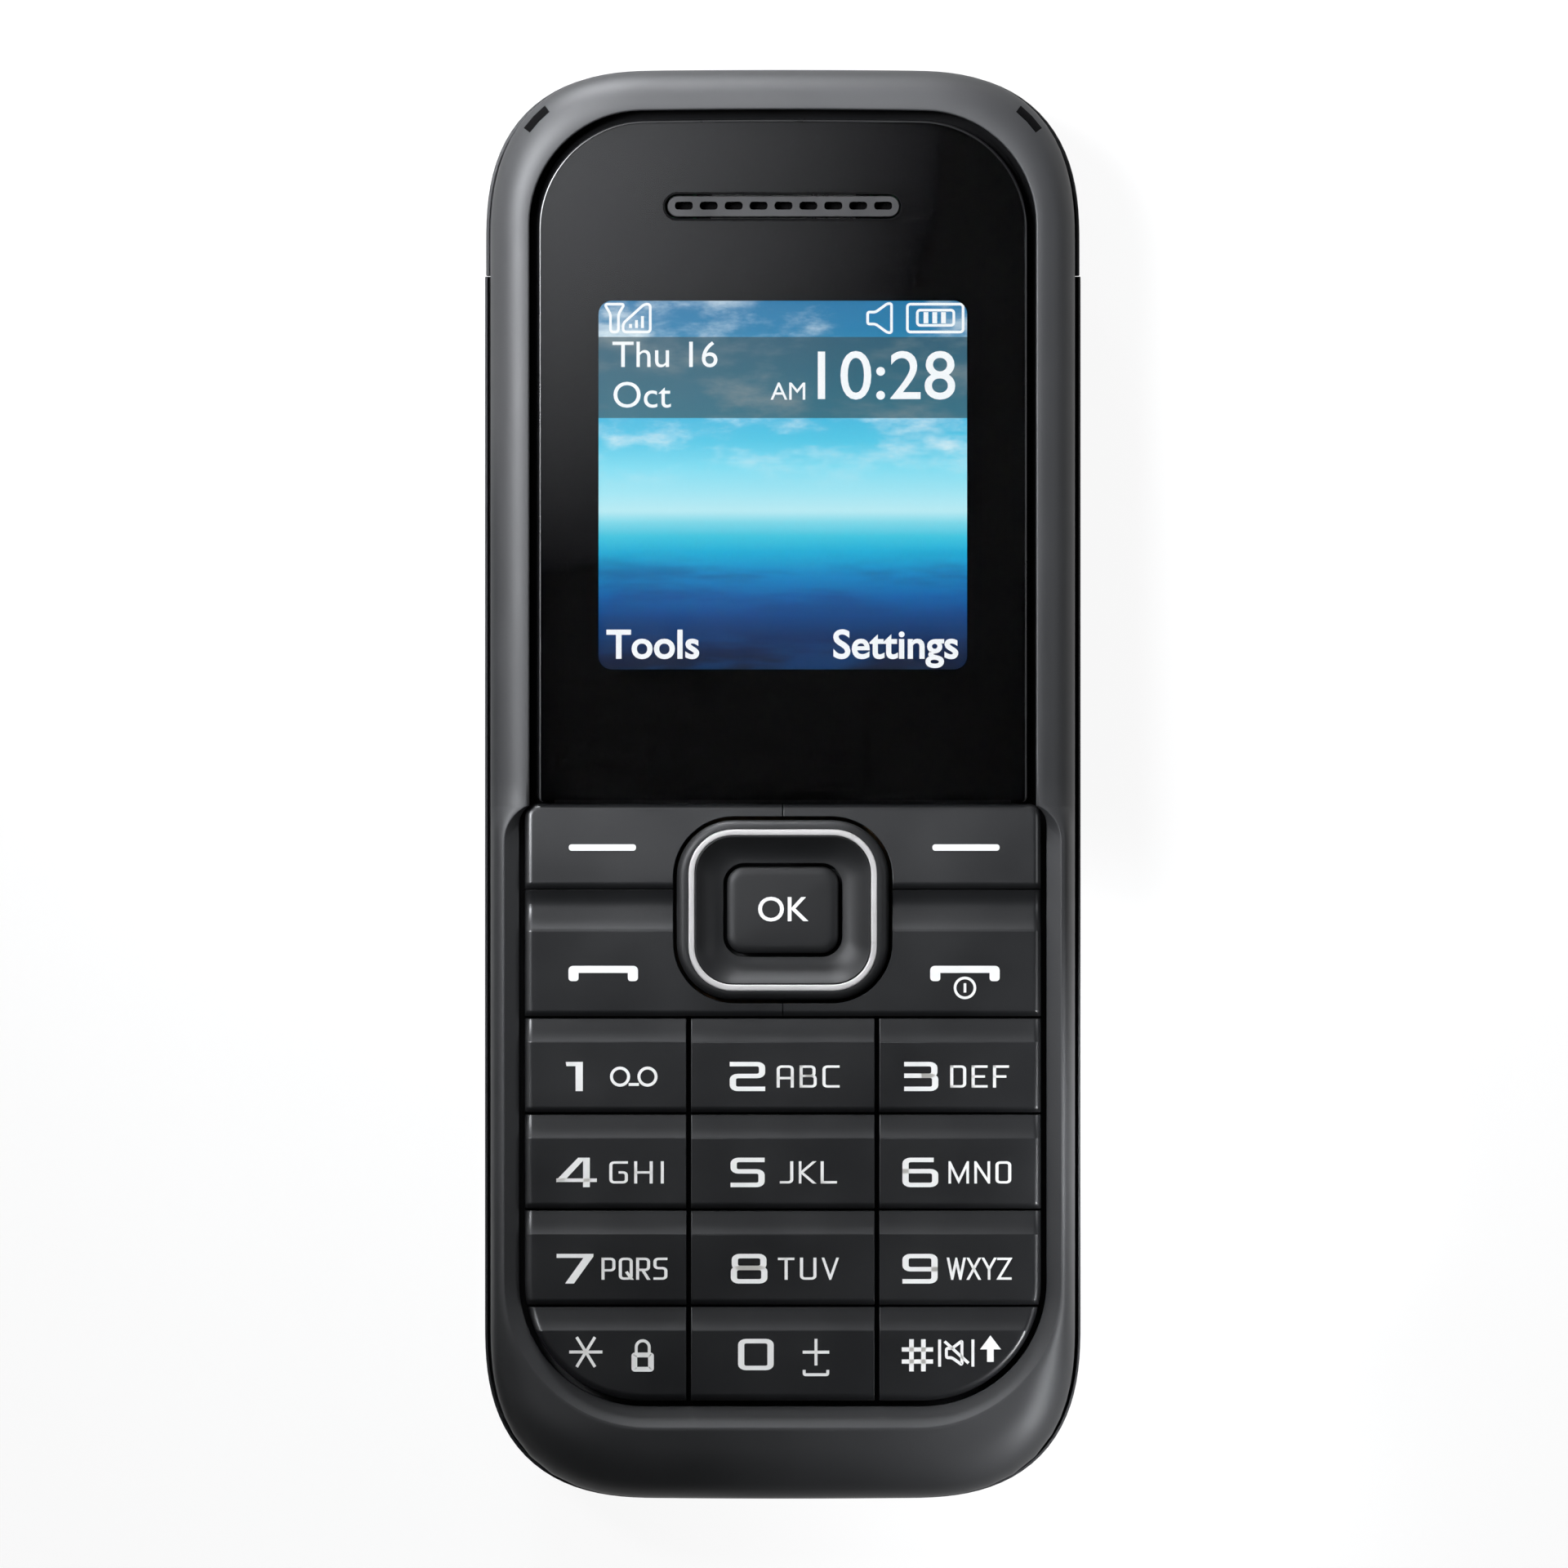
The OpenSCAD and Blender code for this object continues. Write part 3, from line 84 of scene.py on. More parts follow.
def addNode(tree, kind, **values):
    node = tree.nodes.new("ShaderNode" + kind)
    setInputs(node, values)
    return node


def setInputs(node, values):
    for name, value in values.items():
        node.inputs[name].default_value = value


def stretched(tree, place, scale, turn=(0, 0, 0), shift=(0, 0, 0)):
    mapping = addNode(tree, "Mapping", Scale=scale, Rotation=turn, Location=shift)
    tree.links.new(place, mapping.inputs["Vector"])
    return mapping.outputs["Vector"]


def textured(tree, kind, place, **values):
    node = addNode(tree, "Tex" + kind, **values)
    tree.links.new(place, node.inputs["Vector"])
    return node.outputs["Fac"]


def ranged(tree, value, low, high, start=0.0, end=1.0, kind="LINEAR"):
    # what runs from low to high comes out from start to end
    node = addNode(tree, "MapRange")
    node.interpolation_type = kind
    setInputs(node, {"From Min": low, "From Max": high, "To Min": start, "To Max": end})
    tree.links.new(value, node.inputs["Value"])
    return node.outputs["Result"]


def tinted(tree, value, dark, light, spread=(0.0, 1.0)):
    node = tree.nodes.new("ShaderNodeValToRGB")
    for stop, position, colour in zip(node.color_ramp.elements, spread, (dark, light)):
        stop.position = position
        stop.color = (*colour, 1)
    tree.links.new(value, node.inputs["Fac"])
    return node.outputs["Color"]


def calc(tree, kind, first, second):
    node = tree.nodes.new("ShaderNodeMath")
    node.operation = kind
    for socket, value in zip(node.inputs, (first, second)):
        if isinstance(value, float):
            socket.default_value = value
        else:
            tree.links.new(value, socket)
    return node.outputs["Value"]


grainDepth = 0.00003  # metres


def pressIn(tree, shader, height, strength):
    bump = addNode(tree, "Bump", Strength=strength, Distance=grainDepth)
    tree.links.new(height, bump.inputs["Height"])
    tree.links.new(bump.outputs["Normal"], shader.inputs["Normal"])


def mouldedFinish(name, look):
    # cloudy colour and gloss, with a fine grain pressed in by the mould
    finish, tree, shader, place = newFinish(name)
    where = stretched(tree, place, look.get("stretch", (1, 1, 1)))
    cloud = textured(tree, "Noise", where, Scale=look["cloud"], Detail=4.0, Roughness=0.55)
    colour = tinted(tree, cloud, look["dark"], look["light"], (0.32, 0.68))
    tree.links.new(colour, shader.inputs["Base Color"])
    tree.links.new(ranged(tree, cloud, 0.3, 0.7, *look["rough"]), shader.inputs["Roughness"])
    grain = textured(tree, "Noise", where, Scale=look["grain"], Detail=2.0, Roughness=0.5)
    pressIn(tree, shader, grain, look["bump"])
    shine = look.get("shine", 0.5)
    setInputs(shader, {"Metallic": look.get("metal", 0.0), "Specular IOR Level": shine})
    if "glow" in look:  # painted light: the print glows faintly, so that it reads evenly bright
        tree.links.new(colour, shader.inputs["Emission Color"])
        shader.inputs["Emission Strength"].default_value = look["glow"] / look["light"][0]
    if "dullFoot" in look:  # less sheen low on the sides, so that the pale room doesn't light the outline
        low, high, least = look["dullFoot"]
        axes = tree.nodes.new("ShaderNodeSeparateXYZ")
        tree.links.new(place, axes.inputs["Vector"])
        sheen = ranged(tree, axes.outputs["Z"], low * mm, high * mm, least, shine)
        tree.links.new(sheen, shader.inputs["Specular IOR Level"])
    return finish


plasticLooks = {
    "bezelSatin": {"dark": (0.0165, 0.0168, 0.0178), "light": (0.0205, 0.0208, 0.0220),
                   "rough": (0.52, 0.58), "cloud": 120, "grain": 9000, "bump": 0.08,
                   "dullFoot": (9.6, 12.0, 0.0)},
    "shellSatin": {"dark": (0.0215, 0.0218, 0.023), "light": (0.0245, 0.0248, 0.026),
                   "rough": (0.44, 0.52), "cloud": 120, "grain": 8000, "bump": 0.16, "shine": 0.12},
    "keySatin": {"dark": (0.0085, 0.0087, 0.0094), "light": (0.0110, 0.0113, 0.0120),
                 "rough": (0.31, 0.37), "cloud": 150, "grain": 9000, "bump": 0.08},
    "navSatin": {"dark": (0.0060, 0.0062, 0.0067), "light": (0.0080, 0.0082, 0.0087),
                 "rough": (0.46, 0.54), "cloud": 150, "grain": 9000, "bump": 0.08, "shine": 0.32},
    "trimSilver": {"dark": (0.38, 0.37, 0.365), "light": (0.43, 0.42, 0.415),
                   "rough": (0.26, 0.34), "cloud": 300, "grain": 9000, "bump": 0.03},
    # the print's faint glow is painted light, not a lamp
    "legendWhite": {"dark": (0.56, 0.56, 0.55), "light": (0.62, 0.62, 0.61), "glow": 0.18,
                    "rough": (0.42, 0.50), "cloud": 400, "grain": 12000, "bump": 0.05},
    # black ink of the lens print, also used as painted shade in hollows and slot walls
    "inkAndShadeBlack": {"dark": (0.0012, 0.0012, 0.0014), "light": (0.0020, 0.0020, 0.0022),
                  "rough": (0.5, 0.6), "cloud": 200, "grain": 9000, "bump": 0.02, "shine": 0.03},
    "grilleBlack": {"dark": (0.006, 0.006, 0.0066), "light": (0.008, 0.008, 0.0088),
                    "rough": (0.38, 0.48), "cloud": 300, "grain": 9000, "bump": 0.08},
    "lensEdge": {"dark": (0.0040, 0.0040, 0.0044), "light": (0.0056, 0.0056, 0.0060),
                 "rough": (0.26, 0.32), "cloud": 300, "grain": 9000, "bump": 0.02},
    "guideClear": {"dark": (0.80, 0.82, 0.83), "light": (0.86, 0.88, 0.89),
                   "rough": (0.15, 0.25), "cloud": 200, "grain": 5000, "bump": 0.03},
    "whiteMoulded": {"dark": (0.66, 0.66, 0.65), "light": (0.72, 0.72, 0.71),
                     "rough": (0.45, 0.55), "cloud": 150, "grain": 6000, "bump": 0.10},
    "foamBlack": {"dark": (0.014, 0.014, 0.014), "light": (0.026, 0.026, 0.026),
                  "rough": (0.85, 0.95), "cloud": 900, "grain": 5000, "bump": 0.6},
    "siliconeMat": {"dark": (0.010, 0.010, 0.011), "light": (0.016, 0.016, 0.017),
                    "rough": (0.55, 0.65), "cloud": 200, "grain": 6000, "bump": 0.10},
    "chipBlack": {"dark": (0.014, 0.014, 0.015), "light": (0.022, 0.022, 0.023),
                  "rough": (0.5, 0.62), "cloud": 500, "grain": 9000, "bump": 0.15},
    "steelBrushed": {"dark": (0.48, 0.48, 0.47), "light": (0.60, 0.60, 0.59), "metal": 1.0,
                     "rough": (0.24, 0.36), "cloud": 500, "grain": 4000, "bump": 0.08,
                     "stretch": (1, 0.06, 1)},
    "goldPlate": {"dark": (0.78, 0.52, 0.20), "light": (0.86, 0.60, 0.26), "metal": 1.0,
                  "rough": (0.22, 0.32), "cloud": 600, "grain": 6000, "bump": 0.04},
    "batteryWrap": {"dark": (0.060, 0.062, 0.066), "light": (0.072, 0.074, 0.078),
                    "rough": (0.35, 0.42), "cloud": 160, "grain": 7000, "bump": 0.06},
}
finishes = {name: mouldedFinish(name, look) for name, look in plasticLooks.items()}


def fabricFinish(name):  # acoustic mesh behind the earpiece slots
    finish, tree, shader, place = newFinish(name)
    waves = []
    for way in "XY":
        wave = addNode(tree, "TexWave", Scale=2400.0)
        wave.bands_direction = way
        tree.links.new(place, wave.inputs["Vector"])
        waves.append(wave.outputs["Fac"])
    weave = calc(tree, "MULTIPLY", *waves)
    tree.links.new(tinted(tree, weave, (0.001,) * 3, (0.004,) * 3), shader.inputs["Base Color"])
    pressIn(tree, shader, weave, 0.5)
    setInputs(shader, {"Specular IOR Level": 0.02, "Roughness": 0.9})
    return finish


def boardFinish(name):  # green mask with faint copper tracks under it
    finish, tree, shader, place = newFinish(name)
    tracks = addNode(tree, "TexBrick", Scale=300.0, Color1=(0.006, 0.060, 0.024, 1),
                     Color2=(0.008, 0.075, 0.030, 1), Mortar=(0.020, 0.130, 0.050, 1))
    tracks.inputs["Mortar Size"].default_value = 0.05
    tree.links.new(place, tracks.inputs["Vector"])
    tree.links.new(tracks.outputs["Color"], shader.inputs["Base Color"])
    pressIn(tree, shader, tracks.outputs["Fac"], 0.2)
    shader.inputs["Roughness"].default_value = 0.35
    return finish


def filmFinish(name):  # amber film with printed lines
    finish, tree, shader, place = newFinish(name)
    lines = textured(tree, "Wave", place, Scale=260.0, Distortion=1.2)
    amber = tinted(tree, lines, (0.085, 0.042, 0.012), (0.115, 0.060, 0.018))
    tree.links.new(amber, shader.inputs["Base Color"])
    shader.inputs["Roughness"].default_value = 0.3
    return finish


def glassFinish(name):  # clear acrylic, with the faintest waviness
    finish, tree, shader, place = newFinish(name)
    ripple = textured(tree, "Noise", place, Scale=60.0, Detail=1.0)
    tree.links.new(ranged(tree, ripple, 0.0, 1.0, 0.0, 0.006), shader.inputs["Roughness"])
    setInputs(shader, {"Base Color": (0.97, 0.98, 0.99, 1), "Transmission Weight": 1.0, "IOR": 1.49})
    return finish


displayLook = {
    "size": 27.8, "foot": 8.65,
    # height in the picture, then its colour: dark sea, bright far sea, pale horizon, sky
    "ramp": ((0.00, rgb(4, 16, 44)), (0.03, rgb(4, 22, 56)), (0.08, rgb(4, 40, 88)),
             (0.14, rgb(3, 66, 128)), (0.20, rgb(2, 100, 170)), (0.26, rgb(3, 140, 200)),
             (0.32, rgb(15, 178, 220)), (0.36, rgb(60, 200, 228)), (0.40, rgb(130, 222, 238)),
             (0.43, rgb(190, 242, 250)),
             (0.48, rgb(165, 236, 249)), (0.55, rgb(130, 226, 246)), (0.62, rgb(85, 205, 236)),
             (0.68, rgb(70, 190, 228)), (0.92, rgb(28, 128, 176)), (1.00, rgb(24, 120, 170))),
    "cloud": rgb(236, 250, 253), "swell": rgb(4, 66, 124),
    "band": (0.682, 0.902), "bandColour": rgb(44, 80, 90), "bandCover": 0.80}


def displayFinish(name):  # lit picture of sky and sea, with the plain bar behind the clock
    finish, tree, shader, place = newFinish(name)
    look = displayLook
    zoom = 1000 / look["size"]
    spot = stretched(tree, place, (zoom, zoom, 1), shift=(0.5, -look["foot"] / look["size"], 0))
    split = addNode(tree, "SeparateXYZ")
    tree.links.new(spot, split.inputs["Vector"])
    height = split.outputs["Y"]

    def times(first, second):
        return calc(tree, "MULTIPLY", first, second)

    def fade(value, low, high):
        return ranged(tree, value, low, high, kind="SMOOTHSTEP")

    def patches(scale, turn, low, high, depth):
        where = stretched(tree, spot, scale, (0, 0, turn))
        return fade(textured(tree, "Noise", where, Scale=1.0, Detail=depth, Roughness=0.6), low, high)

    def blendIn(cover, under, colour):
        node = tree.nodes.new("ShaderNodeMix")
        node.data_type = "RGBA"
        tree.links.new(cover, node.inputs["Factor"])
        tree.links.new(under, node.inputs[6])
        node.inputs[7].default_value = colour
        return node.outputs[2]

    ramp = tree.nodes.new("ShaderNodeValToRGB")
    stops = ramp.color_ramp.elements
    for number, (position, colour) in enumerate(look["ramp"]):
        stop = stops[number] if number < 2 else stops.new(position)
        stop.position = position
        stop.color = colour
    tree.links.new(height, ramp.inputs["Fac"])
    clouds = times(patches((3.2, 7.5, 1), 0.10, 0.46, 0.76, 6.0), fade(height, 0.47, 0.62))
    swells = times(patches((2.4, 13.0, 1), -0.35, 0.42, 0.66, 3.0), fade(height, 0.34, 0.24))
    picture = blendIn(clouds, ramp.outputs["Color"], look["cloud"])
    picture = blendIn(times(swells, 0.55), picture, look["swell"])
    low, high = look["band"]
    inBand = times(calc(tree, "GREATER_THAN", height, low), calc(tree, "LESS_THAN", height, high))
    picture = blendIn(times(inBand, look["bandCover"]), picture, look["bandColour"])
    tree.links.new(picture, shader.inputs["Emission Color"])
    setInputs(shader, {"Base Color": (0.004, 0.004, 0.005, 1), "Roughness": 0.3, "Emission Strength": 1.0})
    return finish


def litFinish(name):  # lit words and signs on the display
    finish, tree, shader, place = newFinish(name)
    pixels = textured(tree, "Noise", place, Scale=2500.0)
    white = tinted(tree, pixels, (0.90, 0.95, 0.97), (1.0, 1.0, 1.0))
    tree.links.new(white, shader.inputs["Emission Color"])
    setInputs(shader, {"Base Color": (0.02, 0.02, 0.02, 1), "Emission Strength": 1.0})
    return finish


otherFinishes = {"earMesh": fabricFinish, "boardGreen": boardFinish, "filmAmber": filmFinish,
                 "lensClear": glassFinish, "displayPicture": displayFinish, "litWhite": litFinish}
for name, makeFinish in otherFinishes.items():
    finishes[name] = makeFinish(name)
print("finishes made:", len(finishes))


# shared modelling steps

sliver = 0.002  # left straight where a full round would meet itself
hold = 0.06  # a line this far behind a rolled edge keeps the top level
boreLength = 6


def addRing(bm, points):
    verts = [bm.verts.new(Vector(point) * mm) for point in points]
    return [bm.edges.new((verts[i - 1], verts[i])) for i in range(len(verts))]


def cornerRing(bm, box, z, *rounds, profile=0.5):
    # a level rectangle; each round names its corners, their reach and their steps
    before = set(bm.edges)
    x0, x1, y0, y1 = box
    verts = [bm.verts.new(Vector((x, y, z)) * mm) for x, y in ((x1, y0), (x1, y1), (x0, y1), (x0, y0))]
    for i in range(4):
        bm.edges.new((verts[i - 1], verts[i]))
    for corners, reach, steps in rounds:
        bmesh.ops.bevel(bm, geom=[verts[i] for i in corners], offset=reach * mm, offset_type="OFFSET",
                        segments=steps, profile=profile, affect="VERTICES", material=-1)
    return [edge for edge in bm.edges if edge not in before]


footCorners = (0, 3)
topCorners = (1, 2)


def roundedRing(bm, size, z, corner, middle=(0, 0), steps=8, profile=0.5):
    x, y = middle
    halfW, halfL = size
    box = (x - halfW, x + halfW, y - halfL, y + halfL)
    return cornerRing(bm, box, z, ((0, 1, 2, 3), corner, steps), profile=profile)


def rolledEdge(width, height, steps):
    # how far in and how far down a rounded edge lies at each step, from its side to its top
    turns = [math.pi / 2 * i / steps for i in range(steps + 1)]
    return [(width * (1 - math.cos(turn)), height * (1 - math.sin(turn))) for turn in turns]


def bridgePair(bm, lower, upper):
    # the rings are held well apart while they are joined: level ones would be joined crosswise
    raised = {vert for edge in upper for vert in edge.verts}
    for vert in raised:
        vert.co.z += 1
    bmesh.ops.bridge_loops(bm, edges=lower + upper)
    for vert in raised:
        vert.co.z -= 1


def bridgeAll(bm, rings, closed=False):
    for lower, upper in zip(rings, rings[1:]):
        bridgePair(bm, lower, upper)
    if closed:
        bridgePair(bm, rings[-1], rings[0])


def capRing(bm, ring):
    bmesh.ops.contextual_create(bm, geom=ring)


def closeEnds(bm, rings):
    bridgeAll(bm, rings)
    capRing(bm, rings[0])
    capRing(bm, rings[-1])


def faceOut(bm):
    bmesh.ops.recalc_face_normals(bm, faces=bm.faces)


def cutAway(bm, point, normal, fill="holes"):
    # everything on the normal's side goes, and the cut is closed
    geometry = bm.verts[:] + bm.edges[:] + bm.faces[:]
    cut = bmesh.ops.bisect_plane(bm, geom=geometry, dist=1e-7, plane_co=Vector(point) * mm,
                                 plane_no=normal, clear_outer=True)
    rim = [part for part in cut["geom_cut"] if isinstance(part, bmesh.types.BMEdge)]
    if rim and fill == "holes":
        bmesh.ops.holes_fill(bm, edges=rim, sides=0)
    elif rim:
        bmesh.ops.triangle_fill(bm, edges=rim, use_beauty=True)


def scoreAcross(bm, y):
    geometry = bm.verts[:] + bm.edges[:] + bm.faces[:]
    bmesh.ops.bisect_plane(bm, geom=geometry, dist=1e-7, plane_co=(0, y * mm, 0), plane_no=(0, 1, 0))


def raiseBy(bm, raised, height):
    lifted = [part for part in raised["geom"] if isinstance(part, bmesh.types.BMVert)]
    bmesh.ops.translate(bm, verts=lifted, vec=(0, 0, height * mm))


def addBore(bm, x, y, z, radius, steps):
    place = Matrix.Translation(Vector((x, y, z)) * mm) @ Matrix.Rotation(math.pi / 2, 4, "X")
    bmesh.ops.create_cone(bm, cap_ends=True, segments=steps, radius1=radius * mm, radius2=radius * mm,
                          depth=boreLength * mm, matrix=place)


def asMesh(bm, name):
    mesh = bpy.data.meshes.new(name)
    bm.to_mesh(mesh)
    bm.free()
    return mesh


def finishPiece(bm, name, finish, body, replaced=(), sharp=35, more=()):
    mesh = asMesh(bm, name)
    for layer in (finish, *more):
        mesh.materials.append(finishes[layer])
    for polygon in mesh.polygons:
        polygon.use_smooth = True
    if sharp:
        mesh.set_sharp_from_angle(angle=math.radians(sharp))
    piece = bpy.data.objects.new(name, mesh)
    scene.collection.objects.link(piece)
    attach(piece, body)
    if replaced:
        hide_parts(*replaced)
    return piece


def softenEdges(piece, width, steps=3, angle=20):
    bevel = piece.modifiers.new("softEdges", "BEVEL")
    bevel.width = width * mm
    bevel.segments = steps
    bevel.profile = 0.5
    bevel.limit_method = "ANGLE"
    bevel.angle_limit = math.radians(angle)
    bevel.harden_normals = True


def solidMesh(holder):
    scene.collection.objects.link(holder)
    depsgraph = bpy.context.evaluated_depsgraph_get()
    mesh = bpy.data.meshes.new_from_object(holder.evaluated_get(depsgraph))
    bpy.data.objects.remove(holder)
    return mesh


def drilled(bm, cutter):
    holder = bpy.data.objects.new("drilled", asMesh(bm, "drilled"))
    tool = bpy.data.objects.new("cutter", asMesh(cutter, "cutter"))
    scene.collection.objects.link(tool)
    hole = holder.modifiers.new("hole", "BOOLEAN")
    hole.object = tool
    hole.operation = "DIFFERENCE"
    hole.solver = "EXACT"
    result = bmesh.new()
    result.from_mesh(solidMesh(holder))
    bpy.data.objects.remove(tool)
    return result


# bezel: rounded outside, a lipped pocket for the lens, a sloped wall round the keys

bezel = {
    "halfW": 22.25, "halfL": 53.75, "reach": 12.75, "power": 2.6, "bow": 0.25,
    "foot": 8.6, "top": 13.1, "roundShare": 0.97, "roundW": (0.8, 3.4), "roundH": 2.9, "wall": 1.1,
    "inset": (0.2, -0.16), "chamfer": 0.12, "lip": 0.14, "mic": (4.0, -53.5, 9.75, 0.45),
    "earTop": -1.35, "earRun": 3.0, "lensBow": 0.3, "bowFrom": 30, "chin": -48.6, "chinFall": 0.12,
    "chinRun": 2.0,
    # heights: foot of the sloped wall, floors of the lens pocket and the key well, ledge and underside
    "wallFoot": 12.3, "pocketFloor": 11.5, "wellFloor": 11.0, "ledgeFloor": 10.85, "under": 10.7,
    # heights and lowest y of the lens pocket faces that are painted black as shade
    "pocketShadeZ": (11.2, 12.4), "pocketShadeFoot": -1.2,
    "crownSteps": (0.008, 0.03, 0.07, 0.13, 0.21, 0.31, 0.43, 0.56, 0.70, 0.84, 0.95, 1.0),
    "wallSteps": (0.03, 0.08, 0.25, 0.45, 0.65, 0.82, 0.93, 1.0),
    # each wall line: lens pocket half width, top and corner, then key well half width, foot,
    # corner and the rounding of the ear between the two
    "crest": {"w": 19.24, "top": 50.99, "r": 8.49, "keyW": 20.98, "keyFoot": -48.55, "keyR": 10.9,
              "ear": 3.0},
    "well": {"w": 19.1, "top": 50.85, "r": 8.35, "keyW": 19.9, "keyFoot": -46.95, "keyR": 9.45,
             "ear": 1.75},
    "ledge": {"w": 17.2, "top": 48.9, "r": 6.5, "keyW": 19.9, "keyFoot": -46.95, "keyR": 9.45,
              "ear": 3.4}}


def bezelOutline(steps=40):
    look = bezel
    reach = look["reach"]
    quarter = []
    for i in range(steps + 1):
        turn = math.pi / 2 * i / steps
        x = look["halfW"] - reach + reach * max(math.cos(turn), 0) ** (2 / look["power"])
        y = look["halfL"] - reach + reach * math.sin(turn) ** (2 / look["power"])
        quarter.append((x, y))
    for i in range(1, 11):
        quarter.append(((look["halfW"] - reach) * (1 - i / 10), look["halfL"]))
    quarter = [Vector((x, y - look["bow"] * (x / look["halfW"]) ** 2)) for x, y in quarter]
    upper = quarter + [Vector((-spot.x, spot.y)) for spot in reversed(quarter[:-1])]
    return upper + [Vector((spot.x, -spot.y)) for spot in reversed(upper)]


def wallLine(line):
    # right half from the top's middle to the foot's middle, then its mirror
    half = []
    w, top, r = line["w"], line["top"], line["r"]
    keyW, keyFoot, keyR, ear = line["keyW"], line["keyFoot"], line["keyR"], line["ear"]
    for i in range(10):
        half.append(((w - r) * i / 10, top))
    for i in range(18):
        turn = math.radians(90 - 5 * i)
        half.append((w - r + r * math.cos(turn), top - r + r * math.sin(turn)))
    earX, earY = keyW - ear, bezel["earTop"] - ear
    opens = math.acos(min(max((w - earX) / ear, -1), 1))
    earStart = earY + ear * math.sin(opens)
    for i in range(24):
        half.append((w, top - r + (earStart - top + r) * i / 24))
    for i in range(14):
        turn = opens * (1 - i / 14)
        half.append((earX + ear * math.cos(turn), earY + ear * math.sin(turn)))
    for i in range(24):
        half.append((keyW, earY + (keyFoot + keyR - earY) * i / 24))
    for i in range(18):
        turn = math.radians(-5 * i)
        half.append((keyW - keyR + keyR * math.cos(turn), keyFoot + keyR + keyR * math.sin(turn)))
    for i in range(13):
        half.append(((keyW - keyR) * (1 - i / 12), keyFoot))
    half = [Vector((x, y - bezel["lensBow"] * (x / w) ** 2 * (y > bezel["bowFrom"]))) for x, y in half]
    return half + [Vector((-spot.x, spot.y)) for spot in reversed(half[1:-1])]


def nearestOn(outline, spot):
    best = None
    for start, end in zip(outline, outline[1:] + outline[:1]):
        run = end - start
        if run.length_squared == 0:
            continue
        share = min(max((spot - start).dot(run) / run.length_squared, 0), 1)
        near = start + run * share
        if best is None or (near - spot).length < (best - spot).length:
            best = near
    return best


def crownHeight(depth, width):
    # the rounding is wide on the broad rim and tight beside the keys
    look = bezel
    low, high = look["roundW"]
    across = min(max(width * look["roundShare"], low), high)
    if depth >= across:
        return look["top"]
    bend = 1 - depth / across
    return look["top"] - look["roundH"] * (1 - math.sqrt(max(1 - bend * bend, 0)))


def buildBezel():
    look = bezel
    outline = bezelOutline()
    crest, well, ledge = (wallLine(look[line]) for line in ("crest", "well", "ledge"))
    edge = [nearestOn(outline, spot) for spot in crest]
    # the seam shows along the sides, and the ends stand nearly flush with the shell
    side, end = look["inset"]
    inward = [(c - e).normalized() for c, e in zip(crest, edge)]
    edge = [e + n * (side * n.x ** 2 + end * n.y ** 2) for e, n in zip(edge, inward)]
    # lens pocket 0, key well 1, and the ear turns one into the other
    inKeys = [min(max((look["earTop"] - spot.y) / look["earRun"], 0.0), 1.0) for spot in crest]
    bm = bmesh.new()
    rings = []

    def ring(spots, heights):
        if isinstance(heights, float):
            heights = [heights] * len(spots)
        rings.append(addRing(bm, [(s.x, s.y, h) for s, h in zip(spots, heights)]))

    def between(first, second, share):
        return [a.lerp(b, share) for a, b in zip(first, second)]

    def mixed(pocket, keys):
        return [p + (k - p) * share for p, k, share in zip(pocket, keys, inKeys)]

    def movedIn(far):
        return [e + n * far for e, n in zip(edge, inward)]

    widths = [(c - e).length for c, e in zip(crest, edge)]
    ring(movedIn(look["chamfer"]), look["foot"])
    ring(edge, look["foot"] + look["chamfer"])
    ring(edge, look["top"] - look["roundH"])
    for share in look["crownSteps"]:
        spots = between(edge, crest, share)
        heights = [crownHeight((s - e).length, w) for s, e, w in zip(spots, edge, widths)]
        for i, spot in enumerate(spots):  # the chin falls slightly to the foot
            past = max(look["chin"] - spot.y, 0)
            heights[i] -= look["chinFall"] * past * min((spot - edge[i]).length / look["chinRun"], 1)
        ring(spots, heights)
    crestZ = [crownHeight(w, w) for w in widths]
    for share in look["wallSteps"]:  # a rounded lip at the lens, a slope at the keys
        lip = look["lip"] * (1 - math.sqrt(1 - share * share))
        slope = [z + (look["wallFoot"] - z) * share for z in crestZ]
        ring(between(crest, well, share), mixed([z - lip for z in crestZ], slope))
    pocketFloor = [look["pocketFloor"]] * len(crest)
    ring(well, mixed(pocketFloor, [look["wellFloor"]] * len(crest)))
    ring(ledge, mixed(pocketFloor, [look["ledgeFloor"]] * len(crest)))
    ring(ledge, look["under"])
    ring(movedIn(look["wall"]), look["under"])
    ring(movedIn(look["wall"]), look["foot"])
    bridgeAll(bm, rings, closed=True)
    faceOut(bm)
    cutter = bmesh.new()
    addBore(cutter, *look["mic"], 32)
    bm = drilled(bm, cutter)
    low, high = look["pocketShadeZ"]
    for face in bm.faces:  # painted shade: the lens pocket's sides and floor are blacked out where the gap lies in shade
        middle = face.calc_center_median() / mm
        inPocket = low < middle.z < high and look["pocketShadeFoot"] < middle.y < look["well"]["top"]
        face.material_index = 1 if inPocket and abs(middle.x) < look["well"]["w"] + 0.1 else 0
    finishPiece(bm, "bezel", "bezelSatin", "root", ["front_frame"], 50, ["inkAndShadeBlack"])


buildBezel()
print("bezel made")


# lens with its earpiece opening

lens = {"halfW": 18.45, "top": 50.15, "foot": -1.35, "topR": 7.95, "footR": 0.45, "low": 11.7,
        "high": 12.7, "edge": 0.20, "bow": 0.3, "pill": (8.9, 0.925), "pillY": 43.55, "pillRim": 0.15,
        "flatIn": 0.1, "flatFootIn": 0.05, "bowFrom": 30}


